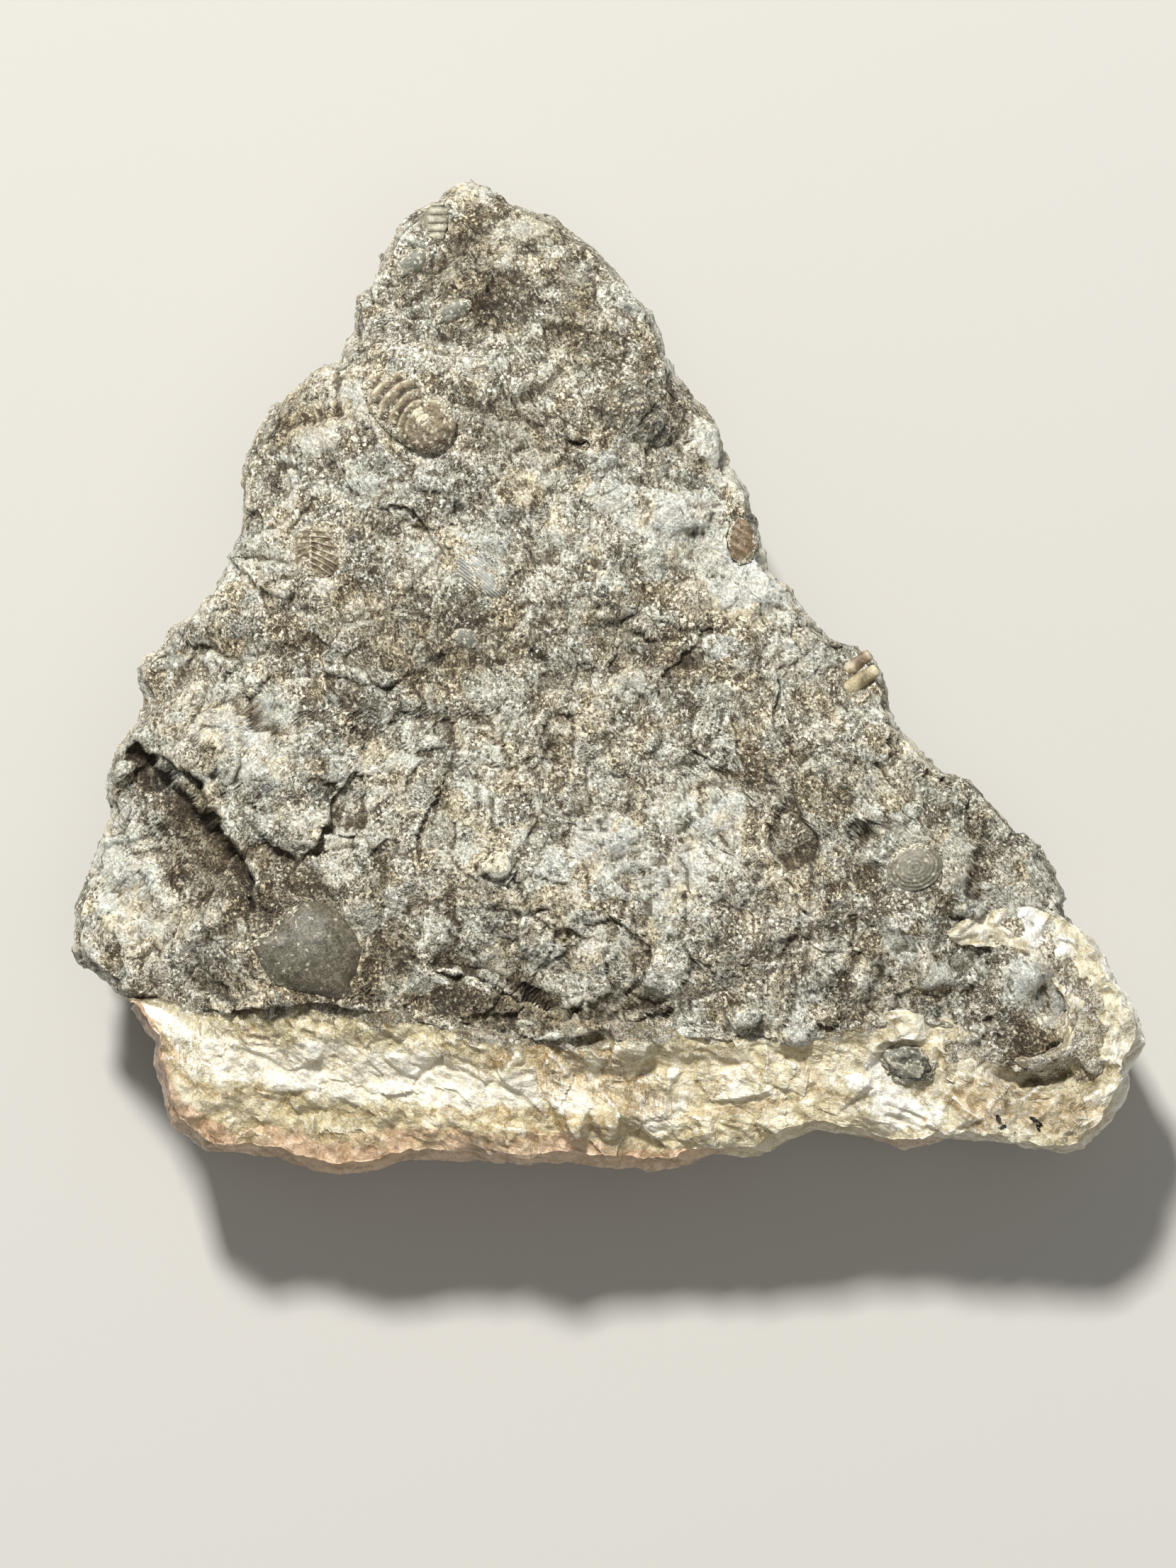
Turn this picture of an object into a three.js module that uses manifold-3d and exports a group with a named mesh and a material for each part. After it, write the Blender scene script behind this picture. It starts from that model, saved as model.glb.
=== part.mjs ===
// A hand specimen of grey-brown limestone, crowded with pieces of trilobites and shells, with a
// vein of cream calcite grown along one side. It lies on its back with the fossils facing up.
//
// Millimetres, +Z up. The origin is under the middle of the specimen, on the surface it lies on.
// The long side of the specimen runs along X, and the tip of the triangle points along +Y.

import * as THREE from 'three';
import { mergeVertices } from 'three/addons/utils/BufferGeometryUtils.js';
import Module from 'manifold-3d';

const manifoldLibrary = await Module();
manifoldLibrary.setup();
const { Manifold, Mesh: ManifoldMesh } = manifoldLibrary;

// ---------------------------------------------------------------------------------------------
// Driving dimensions
// ---------------------------------------------------------------------------------------------

const FACE_HEIGHT = 36.5;        // height of the fossil face above the surface
const GAP = 0.3;                 // clearance between pieces that sit in one another
const BROW_INSET = 1.4;          // how far the rim of the face lies inside the widest outline
const BROW_LEVEL = 0.8;          // height of the widest outline, as a share of the rim's height
const FOOT_INSET = 5.5;          // how far the foot of the walls lies inside the outline, on average
const LIMESTONE_CELLS = 29;      // grid cells across the limestone's face
const CALCITE_CELLS = 38;        // grid cells across the block that the vein is parted from
const WALL_ROWS = 5;             // rows of grid cells down the walls
const WALL_CHIPS = 13;           // width of the broken facets of the walls and the back
const BACK_SHAVE = 1.6;          // how much of the back's chips lies level with the surface

// A point inside, from which the whole outline can be seen.
const CORE = [-8, -3.5];

// The outline seen from above, clockwise from where the vein meets the left edge.
const OUTLINE = [
  // left edge, up to the tip
  [-54.1, -36.4], [-55.6, -35.6], [-59.9, -32], [-60.4, -30.6], [-60, -25.1], [-58.4, -21.6],
  [-56.5, -15.6], [-56.9, -12.2], [-56, -8.5], [-52.4, -3.5], [-53.5, 1], [-50.9, 3],
  [-47.5, 6.5], [-44.4, 10], [-41.8, 16.9], [-41.6, 22.2], [-39.9, 27.7], [-33.6, 34.4],
  [-30.3, 35.7], [-28.7, 38.9], [-28.3, 42.8], [-26.8, 44.4], [-24, 50.6], [-17.6, 55.5],
  // the tip, and down the right edge
  [-15.6, 56.3], [-13.9, 55.9], [-10.4, 53.4], [-6.8, 52], [-2.3, 48.9], [2.2, 43.8],
  [5.6, 38.9], [7.1, 34], [11.6, 29.2], [15.2, 21.4], [17.3, 12.8], [18.7, 10.6],
  [21.8, 7.1], [25.6, 4], [27.7, 3.8], [29.4, 2.3], [31.4, -1.6], [32.3, -5.5],
  [36.5, -9.9], [40.3, -11.8], [45.9, -17.6], [47.6, -18.4], [52, -27.5], [55.4, -30.7],
  // the vein's right end and its lower edge
  [57.1, -34.8], [59.3, -37.1], [60.4, -41.1], [58.4, -44.1], [57.4, -48.6], [55.5, -51.2],
  [53.2, -53.5], [38.3, -51.9], [32.8, -53.1], [23.7, -50.8], [16.8, -53.8], [11.2, -53.8],
  [4, -55.6], [-20.2, -54.1], [-30.6, -56.1], [-37.3, -54.3], [-45.4, -53.6], [-49.7, -50.3],
  [-51.5, -43.1], [-51.3, -40.8],
];

// Where the limestone meets the vein, from the left edge to the right, round the blunt end of the
// limestone and back along the band of calcite above it.
const CONTACT = [
  [-66, -36.2], [-50.1, -36.4], [-45.7, -37.5], [-36.9, -36.4], [-31.3, -36.3], [-21.6, -38.6],
  [-11.4, -41], [0, -39.3], [15.1, -40.6], [26.5, -40], [32, -38.2], [38.3, -39.2],
  [45.5, -44.1], [53.4, -43.4], [54.2, -35.6], [51.2, -32.2], [45.1, -29.2], [40.4, -28.2],
  [41.7, -25.2], [48.8, -26.5], [66, -28],
];

// The broken planes of the fossil face. Each falls away beyond a line: direction it falls in
// (degrees from +X), distance of the line from the origin, and how steeply it falls.
const FACE_PLANES = [
  { towards: 35, from: 13, slope: 0.42 },    // right edge
  { towards: -26, from: 38, slope: 0.28 },   // blunt right end
  { towards: 96, from: 34, slope: 0.36 },    // tip
  { towards: 150, from: 36, slope: 0.42 },   // upper left edge
  { towards: 198, from: 44, slope: 0.36 },   // left facet
  { towards: 270, from: 30, slope: 0.24 },   // towards the vein
];

// Steps in the face: the line of the step with the low side on its right hand, the drop, and how
// far the low side takes to rise again.
const LEDGES = [
  { drop: 3.6, reach: 60, line: [[-53.1, -7.4], [-48, -12], [-43.9, -17.5], [-39.1, -24]] },
  { drop: 2.2, reach: 9, line: [[-41.6, -26.4], [-39.8, -29.6], [-37.7, -33.6]] },
  { drop: 1.6, reach: 7, line: [[-1.5, 25.8], [-5.1, 27.6], [-8.5, 28.9], [-10.7, 31.7]] },
  { drop: 4.2, reach: 10, line: [[8, -36.4], [0, -38.6], [-6, -37.8], [-14, -33.4], [-22, -32.3]] },
  { drop: 2.0, reach: 8, line: [[-27, -17.2], [-32.4, -17.4]] },
  { drop: 1.4, reach: 6, line: [[26.9, -5.1], [25.8, -2]] },
];

// Lumps and pits of the face: middle, half widths along X and Y, height.
const LUMPS = [
  [3, 29.3, 5.5, 4, 1.2], [9.1, 18.9, 4.5, 3, 1.1], [15.9, 11.2, 4, 5, 1],
  [-0.5, 8.7, 4, 3, 0.8], [-0.6, -18.4, 4, 3, 0.9], [11.9, -15.9, 4.5, 3.5, 1],
  [-43, -7.5, 5, 4, 1.8], [-14.5, -2, 9, 4, 0.7], [-38.3, -10.4, 5, 3, 1.2],
  [-13, -21.3, 1.9, 1.8, 1.6], [14.8, -38.2, 1.8, 1.6, 1.6], [39.6, -26, 2.6, 2.2, 1.3],
  [-36.5, 10.3, 1.6, 1.4, 1.1], [-32.5, 26.5, 3.5, 2.5, 0.9], [46.9, -33, 3.5, 4, 1.2],
  [-34, -20.6, 8, 3.6, -3.2], [-48, -20, 5, 4.5, -1.6], [8.8, 1.9, 1.6, 1.4, -1.8],
  [28.2, -17.8, 1.8, 1.6, -2], [-17.3, 18.8, 2, 1.4, -1.4], [-53.6, -8.8, 1.8, 1.3, -2.4],
  [-6, 14, 3.4, 2.2, -1.1], [16, -24, 4, 5, -1], [22, -31, 5, 3, -1.2],
];

// The hollow under the limestone's blunt end: middle, half widths, depth.
const HOLLOW = [48.3, -44.6, 7.4, 2.6, -7];

// ---------------------------------------------------------------------------------------------
// Numbers that make broken stone
// ---------------------------------------------------------------------------------------------

const clamp = THREE.MathUtils.clamp;
const smoothstep = THREE.MathUtils.smoothstep;
const lerp = THREE.MathUtils.lerp;

// A fixed number between -1 and 1 for a point of the whole-number lattice.
function lattice(i, j, k) {
  let hash = Math.imul(i, 374761393) ^ Math.imul(j, 668265263) ^ Math.imul(k, 1274126177);
  hash = Math.imul(hash ^ (hash >>> 13), 1274126177);
  return ((hash ^ (hash >>> 16)) >>> 0) / 2147483647.5 - 1;
}

// Smooth noise between -1 and 1, one lattice step per unit of x and y.
function smoothNoise(x, y, seed) {
  const i = Math.floor(x);
  const j = Math.floor(y);
  const u = smoothstep(x - i, 0, 1);
  const v = smoothstep(y - j, 0, 1);
  const low = lerp(lattice(i, j, seed), lattice(i + 1, j, seed), u);
  const high = lerp(lattice(i, j + 1, seed), lattice(i + 1, j + 1, seed), u);
  return lerp(low, high, v);
}

// Three layers of smooth noise, each half as wide and half as high as the one before.
function ruggedness(x, y, width, seed) {
  let sum = 0;
  for (let layer = 0; layer < 3; layer += 1) {
    const scale = 2 ** layer;
    sum += smoothNoise(x * scale / width, y * scale / width, seed + layer) / scale;
  }
  return sum;
}

// Flat crystal faces: each cell of a scattered lattice is a small plane with a tilt of its own.
function crystalFaces(x, y, width, seed) {
  const i = Math.floor(x / width);
  const j = Math.floor(y / width);
  let nearest = Infinity;
  let height = 0;
  for (let a = i - 1; a <= i + 1; a += 1) {
    for (let b = j - 1; b <= j + 1; b += 1) {
      const dx = x - (a + 0.5 + 0.4 * lattice(a, b, seed)) * width;
      const dy = y - (b + 0.5 + 0.4 * lattice(a, b, seed + 1)) * width;
      const distance = Math.hypot(dx, dy);
      if (distance < nearest) {
        nearest = distance;
        const tiltX = lattice(a, b, seed + 2) * dx / width;
        const tiltY = lattice(a, b, seed + 3) * dy / width;
        height = lattice(a, b, seed + 4) + 1.4 * (tiltX + tiltY);
      }
    }
  }
  return height;
}

// A rounded lump: 1 in the middle, 0 from the edge of its ellipse outwards.
function lump(x, y, [cx, cy, rx, ry]) {
  const away = Math.hypot((x - cx) / rx, (y - cy) / ry);
  return 1 - smoothstep(away, 0, 1.25);
}

// Distance to an open line of points, positive on its right-hand side, and the share of the
// line's length where it is nearest.
function besideLine(x, y, line) {
  let best = { distance: Infinity, side: 1, along: 0 };
  for (let n = 0; n < line.length - 1; n += 1) {
    const [ax, ay] = line[n];
    const [bx, by] = line[n + 1];
    const length = Math.hypot(bx - ax, by - ay);
    const ux = (bx - ax) / length;
    const uy = (by - ay) / length;
    const t = clamp((x - ax) * ux + (y - ay) * uy, 0, length);
    const distance = Math.hypot(x - ax - ux * t, y - ay - uy * t);
    if (distance < best.distance) {
      const side = Math.sign((x - ax) * uy - (y - ay) * ux) || 1;
      best = { distance, side, along: (n + t / length) / (line.length - 1) };
    }
  }
  return best;
}

// How far a step lowers the face at a point.
function ledgeDrop(x, y, { line, drop, reach }) {
  const { distance, side, along } = besideLine(x, y, line);
  if (side < 0 || distance > reach) {
    return 0;
  }
  const ends = smoothstep(along, -0.01, 0.15) * (1 - smoothstep(along, 0.85, 1.01));
  return drop * Math.max(ends, 0.15) * smoothstep(distance, 0, 1.2) * (1 - distance / reach);
}

// ---------------------------------------------------------------------------------------------
// The surface of the specimen
// ---------------------------------------------------------------------------------------------

// Flat seats that the fossils are set in: middle, radius, height above or below the bare face.
const SEATS = [];

function brokenFace(x, y) {
  let height = FACE_HEIGHT;
  for (const { towards, from, slope } of FACE_PLANES) {
    const angle = THREE.MathUtils.degToRad(towards);
    const beyond = x * Math.cos(angle) + y * Math.sin(angle) - from;
    const softness = 3;
    const rounded = 0.5 * (beyond + Math.hypot(beyond, softness));
    height -= slope * rounded;
  }
  return height;
}

function bareLimestoneTop(x, y) {
  let height = brokenFace(x, y) + 1.15 * ruggedness(x, y, 12, 20) + 0.5 * ruggedness(x, y, 5, 40);
  for (const ledge of LEDGES) {
    height -= ledgeDrop(x, y, ledge);
  }
  for (const shape of LUMPS) {
    height += shape[4] * lump(x, y, shape);
  }
  return height;
}

function limestoneTop(x, y) {
  let height = bareLimestoneTop(x, y);
  for (const { at, radius, level } of SEATS) {
    const away = Math.hypot(x - at[0], y - at[1]) / radius;
    height = lerp(level, height, smoothstep(away, 1, 1.5));
  }
  return height;
}

// The vein falls from the contact to the lower edge in two tiers of grown-together crystals.
function calciteTop(x, y) {
  const { distance } = besideLine(x, y, CONTACT);
  const below = Math.min(distance, 17);
  const wander = 1.4 * smoothNoise(x / 7, 0.5, 71);
  const lowerTier = smoothstep(below, 10.4 + wander, 11.6 + wander);
  const contactDip = 1.6 * (1 - smoothstep(distance, 0, 3.5));
  const fall = 0.42 * below + 3.4 * lowerTier + contactDip;
  const crystals = 1.15 * crystalFaces(x, y, 5.2, 80) + 0.4 * ruggedness(x, y, 3.6, 90);
  const rightEnd = 4 * smoothstep(x, 30, 60);
  return 32 - fall - rightEnd + crystals + HOLLOW[4] * lump(x, y, HOLLOW);
}

// ---------------------------------------------------------------------------------------------
// Geometry helpers
// ---------------------------------------------------------------------------------------------

function positionsOnly(geometry) {
  const bare = geometry.clone();
  bare.deleteAttribute('normal');
  bare.deleteAttribute('uv');
  return mergeVertices(bare, 1e-4);
}

function toSolid(geometry) {
  const merged = positionsOnly(geometry);
  return new Manifold(new ManifoldMesh({
    numProp: 3,
    vertProperties: new Float32Array(merged.attributes.position.array),
    triVerts: new Uint32Array(merged.index.array),
  }));
}

function toGeometry(solid) {
  const mesh = solid.getMesh();
  const geometry = new THREE.BufferGeometry();
  geometry.setAttribute('position', new THREE.BufferAttribute(mesh.vertProperties, 3));
  geometry.setIndex(new THREE.BufferAttribute(mesh.triVerts, 1));
  return geometry;
}

// The point at a share of the way round a closed outline, measured along its length.
function outlineWalker(points) {
  const path = new THREE.CurvePath();
  points.forEach((point, n) => {
    const next = points[(n + 1) % points.length];
    path.add(new THREE.LineCurve(new THREE.Vector2(...point), new THREE.Vector2(...next)));
  });
  return (share) => path.getPoint(((share % 1) + 1) % 1);
}

// Where a point of the square -1..1 lies: which ring round the middle, and how far round it.
function ringAndTurn(u, v) {
  const ring = Math.max(Math.abs(u), Math.abs(v));
  if (ring < 1e-9) {
    return { ring: 0, turn: 0 };
  }
  if (Math.abs(u) >= Math.abs(v)) {
    return { ring, turn: u > 0 ? v / ring / 8 : 0.5 - v / ring / 8 };
  }
  return { ring, turn: v > 0 ? 0.25 - u / ring / 8 : 0.75 + u / ring / 8 };
}

// How deep the broken facets of the walls and the back are cut in, never less than nothing.
function chippedDepth(x, y, seed) {
  const chips = crystalFaces(x, y, WALL_CHIPS, seed) + 0.35 * ruggedness(x, y, 7, seed + 9);
  return clamp(1.2 + 1.3 * chips, 0, 4);
}

// A block of stone: a box grid whose square rings become rings of the outline, whose upper side
// takes the heights of top(x, y), and whose walls draw in towards the foot.
function stoneBlock(top, cells) {
  const walk = outlineWalker([...OUTLINE].reverse());
  const geometry = new THREE.BoxGeometry(2, 2, 2, cells, cells, WALL_ROWS);
  const position = geometry.attributes.position;
  const core = new THREE.Vector2(...CORE);
  for (let n = 0; n < position.count; n += 1) {
    const u = position.getX(n);
    const v = position.getY(n);
    const level = (position.getZ(n) + 1) / 2;
    const { ring, turn } = ringAndTurn(u, v);
    const edge = walk(turn).sub(core);
    const reach = edge.length();
    const chip = chippedDepth(edge.x + 24 * level, edge.y - 19 * level, 55);
    let inset;
    if (level > BROW_LEVEL) {
      inset = BROW_INSET * smoothstep(level, BROW_LEVEL, 1);
    } else {
      const below = 1 - level / BROW_LEVEL;
      const foot = FOOT_INSET * (1 + 0.5 * smoothNoise(edge.x / 22, edge.y / 22, 57));
      inset = foot * below ** 1.5 + chip * smoothstep(below, 0, 0.3);
    }
    const share = ring * (1 - inset / reach);
    const x = core.x + edge.x * share;
    const y = core.y + edge.y * share;
    const rim = core.clone().addScaledVector(edge, 1 - BROW_INSET / reach);
    const footLift = 2.4 * smoothstep(ring, 0.9, 1);
    const back = Math.max(0, chippedDepth(x, y, 61) - BACK_SHAVE) + footLift;
    const height = level === 1 ? top(x, y) : top(rim.x, rim.y);
    position.setXYZ(n, x, y, lerp(back, height, level));
  }
  return geometry;
}

// A line moved sideways to its right by a distance.
function besideBy(line, distance) {
  return line.map((point, n) => {
    const before = new THREE.Vector2(...line[Math.max(n - 1, 0)]);
    const here = new THREE.Vector2(...point);
    const after = new THREE.Vector2(...line[Math.min(n + 1, line.length - 1)]);
    const first = n > 0 ? here.clone().sub(before).normalize() : after.clone().sub(here).normalize();
    const second = n < line.length - 1 ? after.sub(here).normalize() : first.clone();
    const middle = first.clone().add(second).normalize();
    const stretch = distance / Math.max(middle.dot(first), 0.35);
    return [here.x + middle.y * stretch, here.y - middle.x * stretch];
  });
}

function prism(points, from, to) {
  const shape = new THREE.Shape(points.map((point) => new THREE.Vector2(...point)));
  const geometry = new THREE.ExtrudeGeometry(shape, { depth: to - from, bevelEnabled: false });
  return geometry.translate(0, 0, from);
}

function addPiece(group, name, geometry, material, place = [0, 0, 0], turn = 0) {
  const mesh = new THREE.Mesh(geometry, material);
  mesh.name = name;
  mesh.position.set(...place);
  mesh.rotation.z = turn;
  group.add(mesh);
}

function stone(colour, roughness) {
  return new THREE.MeshStandardMaterial({ color: colour, roughness, metalness: 0 });
}

// ---------------------------------------------------------------------------------------------
// Fossils
// ---------------------------------------------------------------------------------------------

// A seat level with the bare face at a point; returns its height.
function makeSeat(at, radius, lift = 0) {
  const level = bareLimestoneTop(at[0], at[1]) + lift;
  SEATS.push({ at, radius, level });
  return level;
}

// A low body over an outline: a lathe of unit rings, spread over the outline, whose upper rings
// take the heights of relief(x, y, ring) above the seat. Its flat underside is at -depth.
function carvedBody(outline, relief, { rings, segments, depth }) {
  const walk = outlineWalker(outline);
  const profile = [new THREE.Vector2(0, 0), new THREE.Vector2(1, 0)];
  for (let n = rings; n >= 0; n -= 1) {
    profile.push(new THREE.Vector2(n / rings, 1));
  }
  const geometry = new THREE.LatheGeometry(profile, segments);
  const position = geometry.attributes.position;
  for (let n = 0; n < position.count; n += 1) {
    const across = position.getX(n);
    const upward = position.getZ(n);
    const ring = Math.hypot(across, upward);
    const turn = Math.atan2(upward, across) / (2 * Math.PI);
    const isTop = position.getY(n) > 0.5;
    const edge = walk(turn);
    const x = edge.x * ring;
    const y = edge.y * ring;
    position.setXYZ(n, x, y, isTop ? relief(x, y, ring) : -depth);
  }
  flipFaces(geometry);
  return geometry;
}

function flipFaces(geometry) {
  const index = geometry.index.array;
  for (let n = 0; n < index.length; n += 3) {
    [index[n + 1], index[n + 2]] = [index[n + 2], index[n + 1]];
  }
}

// The pocket that a carved body sits in, with clearance all round.
function pocketFor(outline, depth, height) {
  const wider = outline.map(([x, y]) => {
    const length = Math.hypot(x, y);
    return [x * (length + GAP * 1.5) / length, y * (length + GAP * 1.5) / length];
  });
  return prism(wider, -depth - GAP, height);
}

const RIB_PITCH = 1.04;

// The large tail: a smooth bulb with concentric ribs that open towards the upper left.
const LARGE_TAIL = {
  name: 'trilobite_tail',
  at: [-20.5, 27.6],
  seat: 6.4,
  depth: 1.6,
  rings: 13,
  segments: 22,
  material: stone(0x998f7a, 0.6),
  outline: [
    [3.2, 1.5], [2.8, 3.4], [1.6, 5], [-0.4, 6.2], [-2.8, 6.3], [-5.2, 5.8], [-6.8, 4.8],
    [-7.3, 3.7], [-6.2, 1.4], [-4.4, -0.9], [-2, -2.2], [0, -3.1], [1.8, -3], [3.1, -1.8],
  ],
  relief(x, y, ring) {
    const away = Math.hypot(x, y);
    const dome = 2.1 * (1 - (away / 10) ** 1.5) - 0.9 * ring ** 6;
    const ribbed = smoothstep(away, 1.4, 2.2) * (1 - 0.6 * smoothstep(away, 6.4, 7.6));
    const facing = smoothstep(y - x, -1, 1.5);
    return dome + 0.24 * ribbed * facing * Math.cos(2 * Math.PI * (away - 0.4) / RIB_PITCH);
  },
};

// The small tail axis near the tip: a narrow stack of smooth bands.
const SMALL_TAIL = {
  name: 'small_tail_axis',
  at: [-19.5, 51],
  seat: 2.8,
  depth: 1.2,
  rings: 5,
  segments: 18,
  material: stone(0x8f8c76, 0.6),
  outline: [
    [1.2, 0], [1.2, 1.2], [0.7, 2.2], [-0.4, 2.3], [-1.1, 1.4], [-2.3, 0.7], [-2.2, -0.6],
    [-1.1, -1.4], [-0.6, -2.2], [0.5, -2.2], [1, -1.2],
  ],
  relief(x, y, ring) {
    const bands = 0.16 * Math.cos(2 * Math.PI * y / 0.95);
    return 0.9 - 0.28 * (x - 0.1) ** 2 + bands - 0.3 * ring ** 4;
  },
};

// The fan of seven ribs, low and worn, each bending down from the axis at its left end.
const RIBBED_FAN = {
  name: 'ribbed_fan',
  at: [-32.4, 14.2],
  seat: 4.2,
  depth: 1.4,
  rings: 7,
  segments: 24,
  material: stone(0x988f7c, 0.7),
  outline: [
    [3.4, 0.4], [3, 1.9], [1.6, 3], [-0.4, 3.2], [-2.2, 2.4], [-3.2, 0.6], [-3, -1.4],
    [-1.6, -3.2], [0.2, -3.4], [1.8, -2.6], [2.8, -1.4],
  ],
  relief(x, y, ring) {
    const fromAxis = Math.abs(x + 1.2);
    const bent = y + 0.32 * fromAxis + 0.1 * fromAxis * fromAxis;
    const ribs = 0.2 * Math.cos(2 * Math.PI * bent / 0.92) * smoothstep(fromAxis, 0, 0.6);
    return 0.55 + ribs + 0.25 * (1 - smoothstep(fromAxis, 0, 0.7)) - 0.3 * ring ** 5;
  },
};

// The smooth brown tail at the right edge, with faint slanting ribs.
const EDGE_TAIL = {
  name: 'edge_tail',
  at: [14.6, 15.2],
  seat: 3.4,
  depth: 2.2,
  rings: 4,
  segments: 16,
  material: stone(0x7c7262, 0.5),
  outline: [
    [1.7, -0.6], [1.3, 0.9], [0.6, 2.2], [-0.4, 2.8], [-1.3, 1.6], [-1.7, 0], [-1.2, -1.9],
    [-0.2, -2.8], [1, -2.4],
  ],
  relief(x, y, ring) {
    const ribs = 0.08 * Math.cos(2 * Math.PI * (y + 0.6 * x) / 1.1);
    return 1 - 0.7 * ring ** 2.5 + ribs;
  },
};

// The brachiopod: one smooth domed valve with faint growth lines round its lower margin.
const BRACHIOPOD = {
  name: 'brachiopod_shell',
  at: [-33.7, -30.5],
  seat: 6.6,
  depth: 2,
  rings: 5,
  segments: 22,
  material: stone(0x6f6959, 0.45),
  outline: [
    [6.1, 0], [3.8, 3.8], [1.2, 5.5], [-1.8, 4.4], [-4.5, 2.4], [-6.4, 1], [-5.8, -1.2],
    [-3.7, -4.1], [-0.5, -4.5], [1.4, -4.9], [3.5, -5.5], [4.9, -4.9], [5.1, -3.1], [5.8, -1.5],
  ],
  relief(x, y, ring) {
    const growth = 0.07 * Math.cos(2 * Math.PI * ring * 3.5);
    return 2.6 * Math.sqrt(Math.max(0, 1.04 - ring * ring)) - 0.7 + growth * ring;
  },
};

const CARVED = [LARGE_TAIL, SMALL_TAIL, RIBBED_FAN, EDGE_TAIL, BRACHIOPOD];

// Smooth rounded pieces: middle, half sizes, turn in degrees, height of the middle above the face.
const NUGGETS = [
  { name: 'thorax_bar_lower', at: [28.6, 0.1], size: [2.5, 0.75, 0.8], turn: 32, lift: 0.1,
    material: stone(0x857a62, 0.5) },
  { name: 'thorax_bar_upper', at: [28.3, 2.1], size: [1.9, 0.6, 0.7], turn: 30, lift: 0,
    material: stone(0x857a62, 0.5) },
  { name: 'curved_shell', at: [-22.1, 46.4], size: [2.3, 1.3, 0.9], turn: 38, lift: 0,
    material: stone(0x84867e, 0.5) },
  { name: 'comma_shell', at: [-17.6, 40.8], size: [2.4, 1.1, 0.9], turn: 30, lift: 0.1,
    material: stone(0x7e7f77, 0.45) },
  { name: 'shell_chip', at: [-16.2, 4.2], size: [1.6, 1.1, 0.8], turn: -15, lift: 0.1,
    material: stone(0x8b8c82, 0.45) },
  { name: 'striated_shell', at: [-14.5, 11.2], size: [3.3, 1.7, 1.1], turn: -38, lift: 0,
    material: stone(0xb4b6ac, 0.5) },
  { name: 'disc_shell', at: [33.8, -21.2], size: [3.2, 2.6, 1.1], turn: 15, lift: 0.1,
    material: stone(0x9c978a, 0.55) },
];

// The piece of limestone that the vein has grown round.
const CLAST = {
  name: 'limestone_clast', at: [33.3, -43.2], size: [3.6, 2.2, 2.2], turn: -12, lift: -0.6,
  material: stone(0x8d8778, 0.8),
};

function nuggetGeometry(size, clearance = 0) {
  const geometry = new THREE.SphereGeometry(1, 8, 6);
  geometry.rotateX(Math.PI / 2);
  return geometry.scale(...size.map((half) => half + clearance));
}

// ---------------------------------------------------------------------------------------------
// The specimen
// ---------------------------------------------------------------------------------------------

const FAR = 80;
const BELOW_ALL = -5;
const ABOVE_ALL = 60;
const NUGGET_SEAT = 1.15;        // seat radius of a nugget, as a share of its half length

function seatFossils() {
  for (const fossil of CARVED) {
    fossil.level = makeSeat(fossil.at, fossil.seat);
  }
  for (const nugget of NUGGETS) {
    nugget.level = makeSeat(nugget.at, nugget.size[0] * NUGGET_SEAT);
  }
}

function placeSolid(solid, at, level, degrees = 0) {
  return solid.rotate([0, 0, degrees]).translate([at[0], at[1], level]);
}

// The main body, without crumbs that the walls' slope leaves beside it.
function largestBody(solid) {
  return solid.decompose().reduce((one, other) => (other.volume() > one.volume() ? other : one));
}

function buildLimestone() {
  const rightOfContact = [...CONTACT, [FAR, FAR], [-FAR, FAR]];
  let body = toSolid(stoneBlock(limestoneTop, LIMESTONE_CELLS));
  body = body.intersect(toSolid(prism(rightOfContact, BELOW_ALL, ABOVE_ALL)));
  for (const { outline, at, level, depth } of CARVED) {
    const pocket = toSolid(pocketFor(outline, depth, 8));
    body = body.subtract(placeSolid(pocket, at, level));
  }
  for (const { size, at, level, turn, lift } of NUGGETS) {
    const pocket = toSolid(nuggetGeometry(size, GAP));
    body = body.subtract(placeSolid(pocket, at, level + lift, turn));
  }
  return toGeometry(body);
}

function buildCalcite() {
  const belowContact = [...besideBy(CONTACT, GAP), [FAR, -FAR], [-FAR, -FAR]];
  const hole = toSolid(nuggetGeometry(CLAST.size, GAP));
  let body = toSolid(stoneBlock(calciteTop, CALCITE_CELLS));
  body = body.intersect(toSolid(prism(belowContact, BELOW_ALL, ABOVE_ALL)));
  body = body.subtract(placeSolid(hole, CLAST.at, CLAST.level, CLAST.turn));
  return toGeometry(largestBody(body));
}

function buildSpecimen() {
  const specimen = new THREE.Group();
  seatFossils();
  CLAST.level = calciteTop(...CLAST.at) + CLAST.lift;
  addPiece(specimen, 'limestone_matrix', buildLimestone(), stone(0xa49d8b, 0.85));
  addPiece(specimen, 'calcite_vein', buildCalcite(), stone(0xede9d2, 0.5));
  for (const { name, outline, relief, at, level, material, ...grid } of CARVED) {
    addPiece(specimen, name, carvedBody(outline, relief, grid), material, [...at, level]);
  }
  for (const { name, size, at, level, lift = 0, turn, material } of NUGGETS) {
    const place = [at[0], at[1], level + lift];
    const angle = THREE.MathUtils.degToRad(turn);
    addPiece(specimen, name, nuggetGeometry(size), material, place, angle);
  }
  const clastPlace = [...CLAST.at, CLAST.level];
  const clastTurn = THREE.MathUtils.degToRad(CLAST.turn);
  addPiece(specimen, CLAST.name, nuggetGeometry(CLAST.size), CLAST.material, clastPlace, clastTurn);
  return specimen;
}

const specimen = buildSpecimen();

export default specimen;
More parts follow.
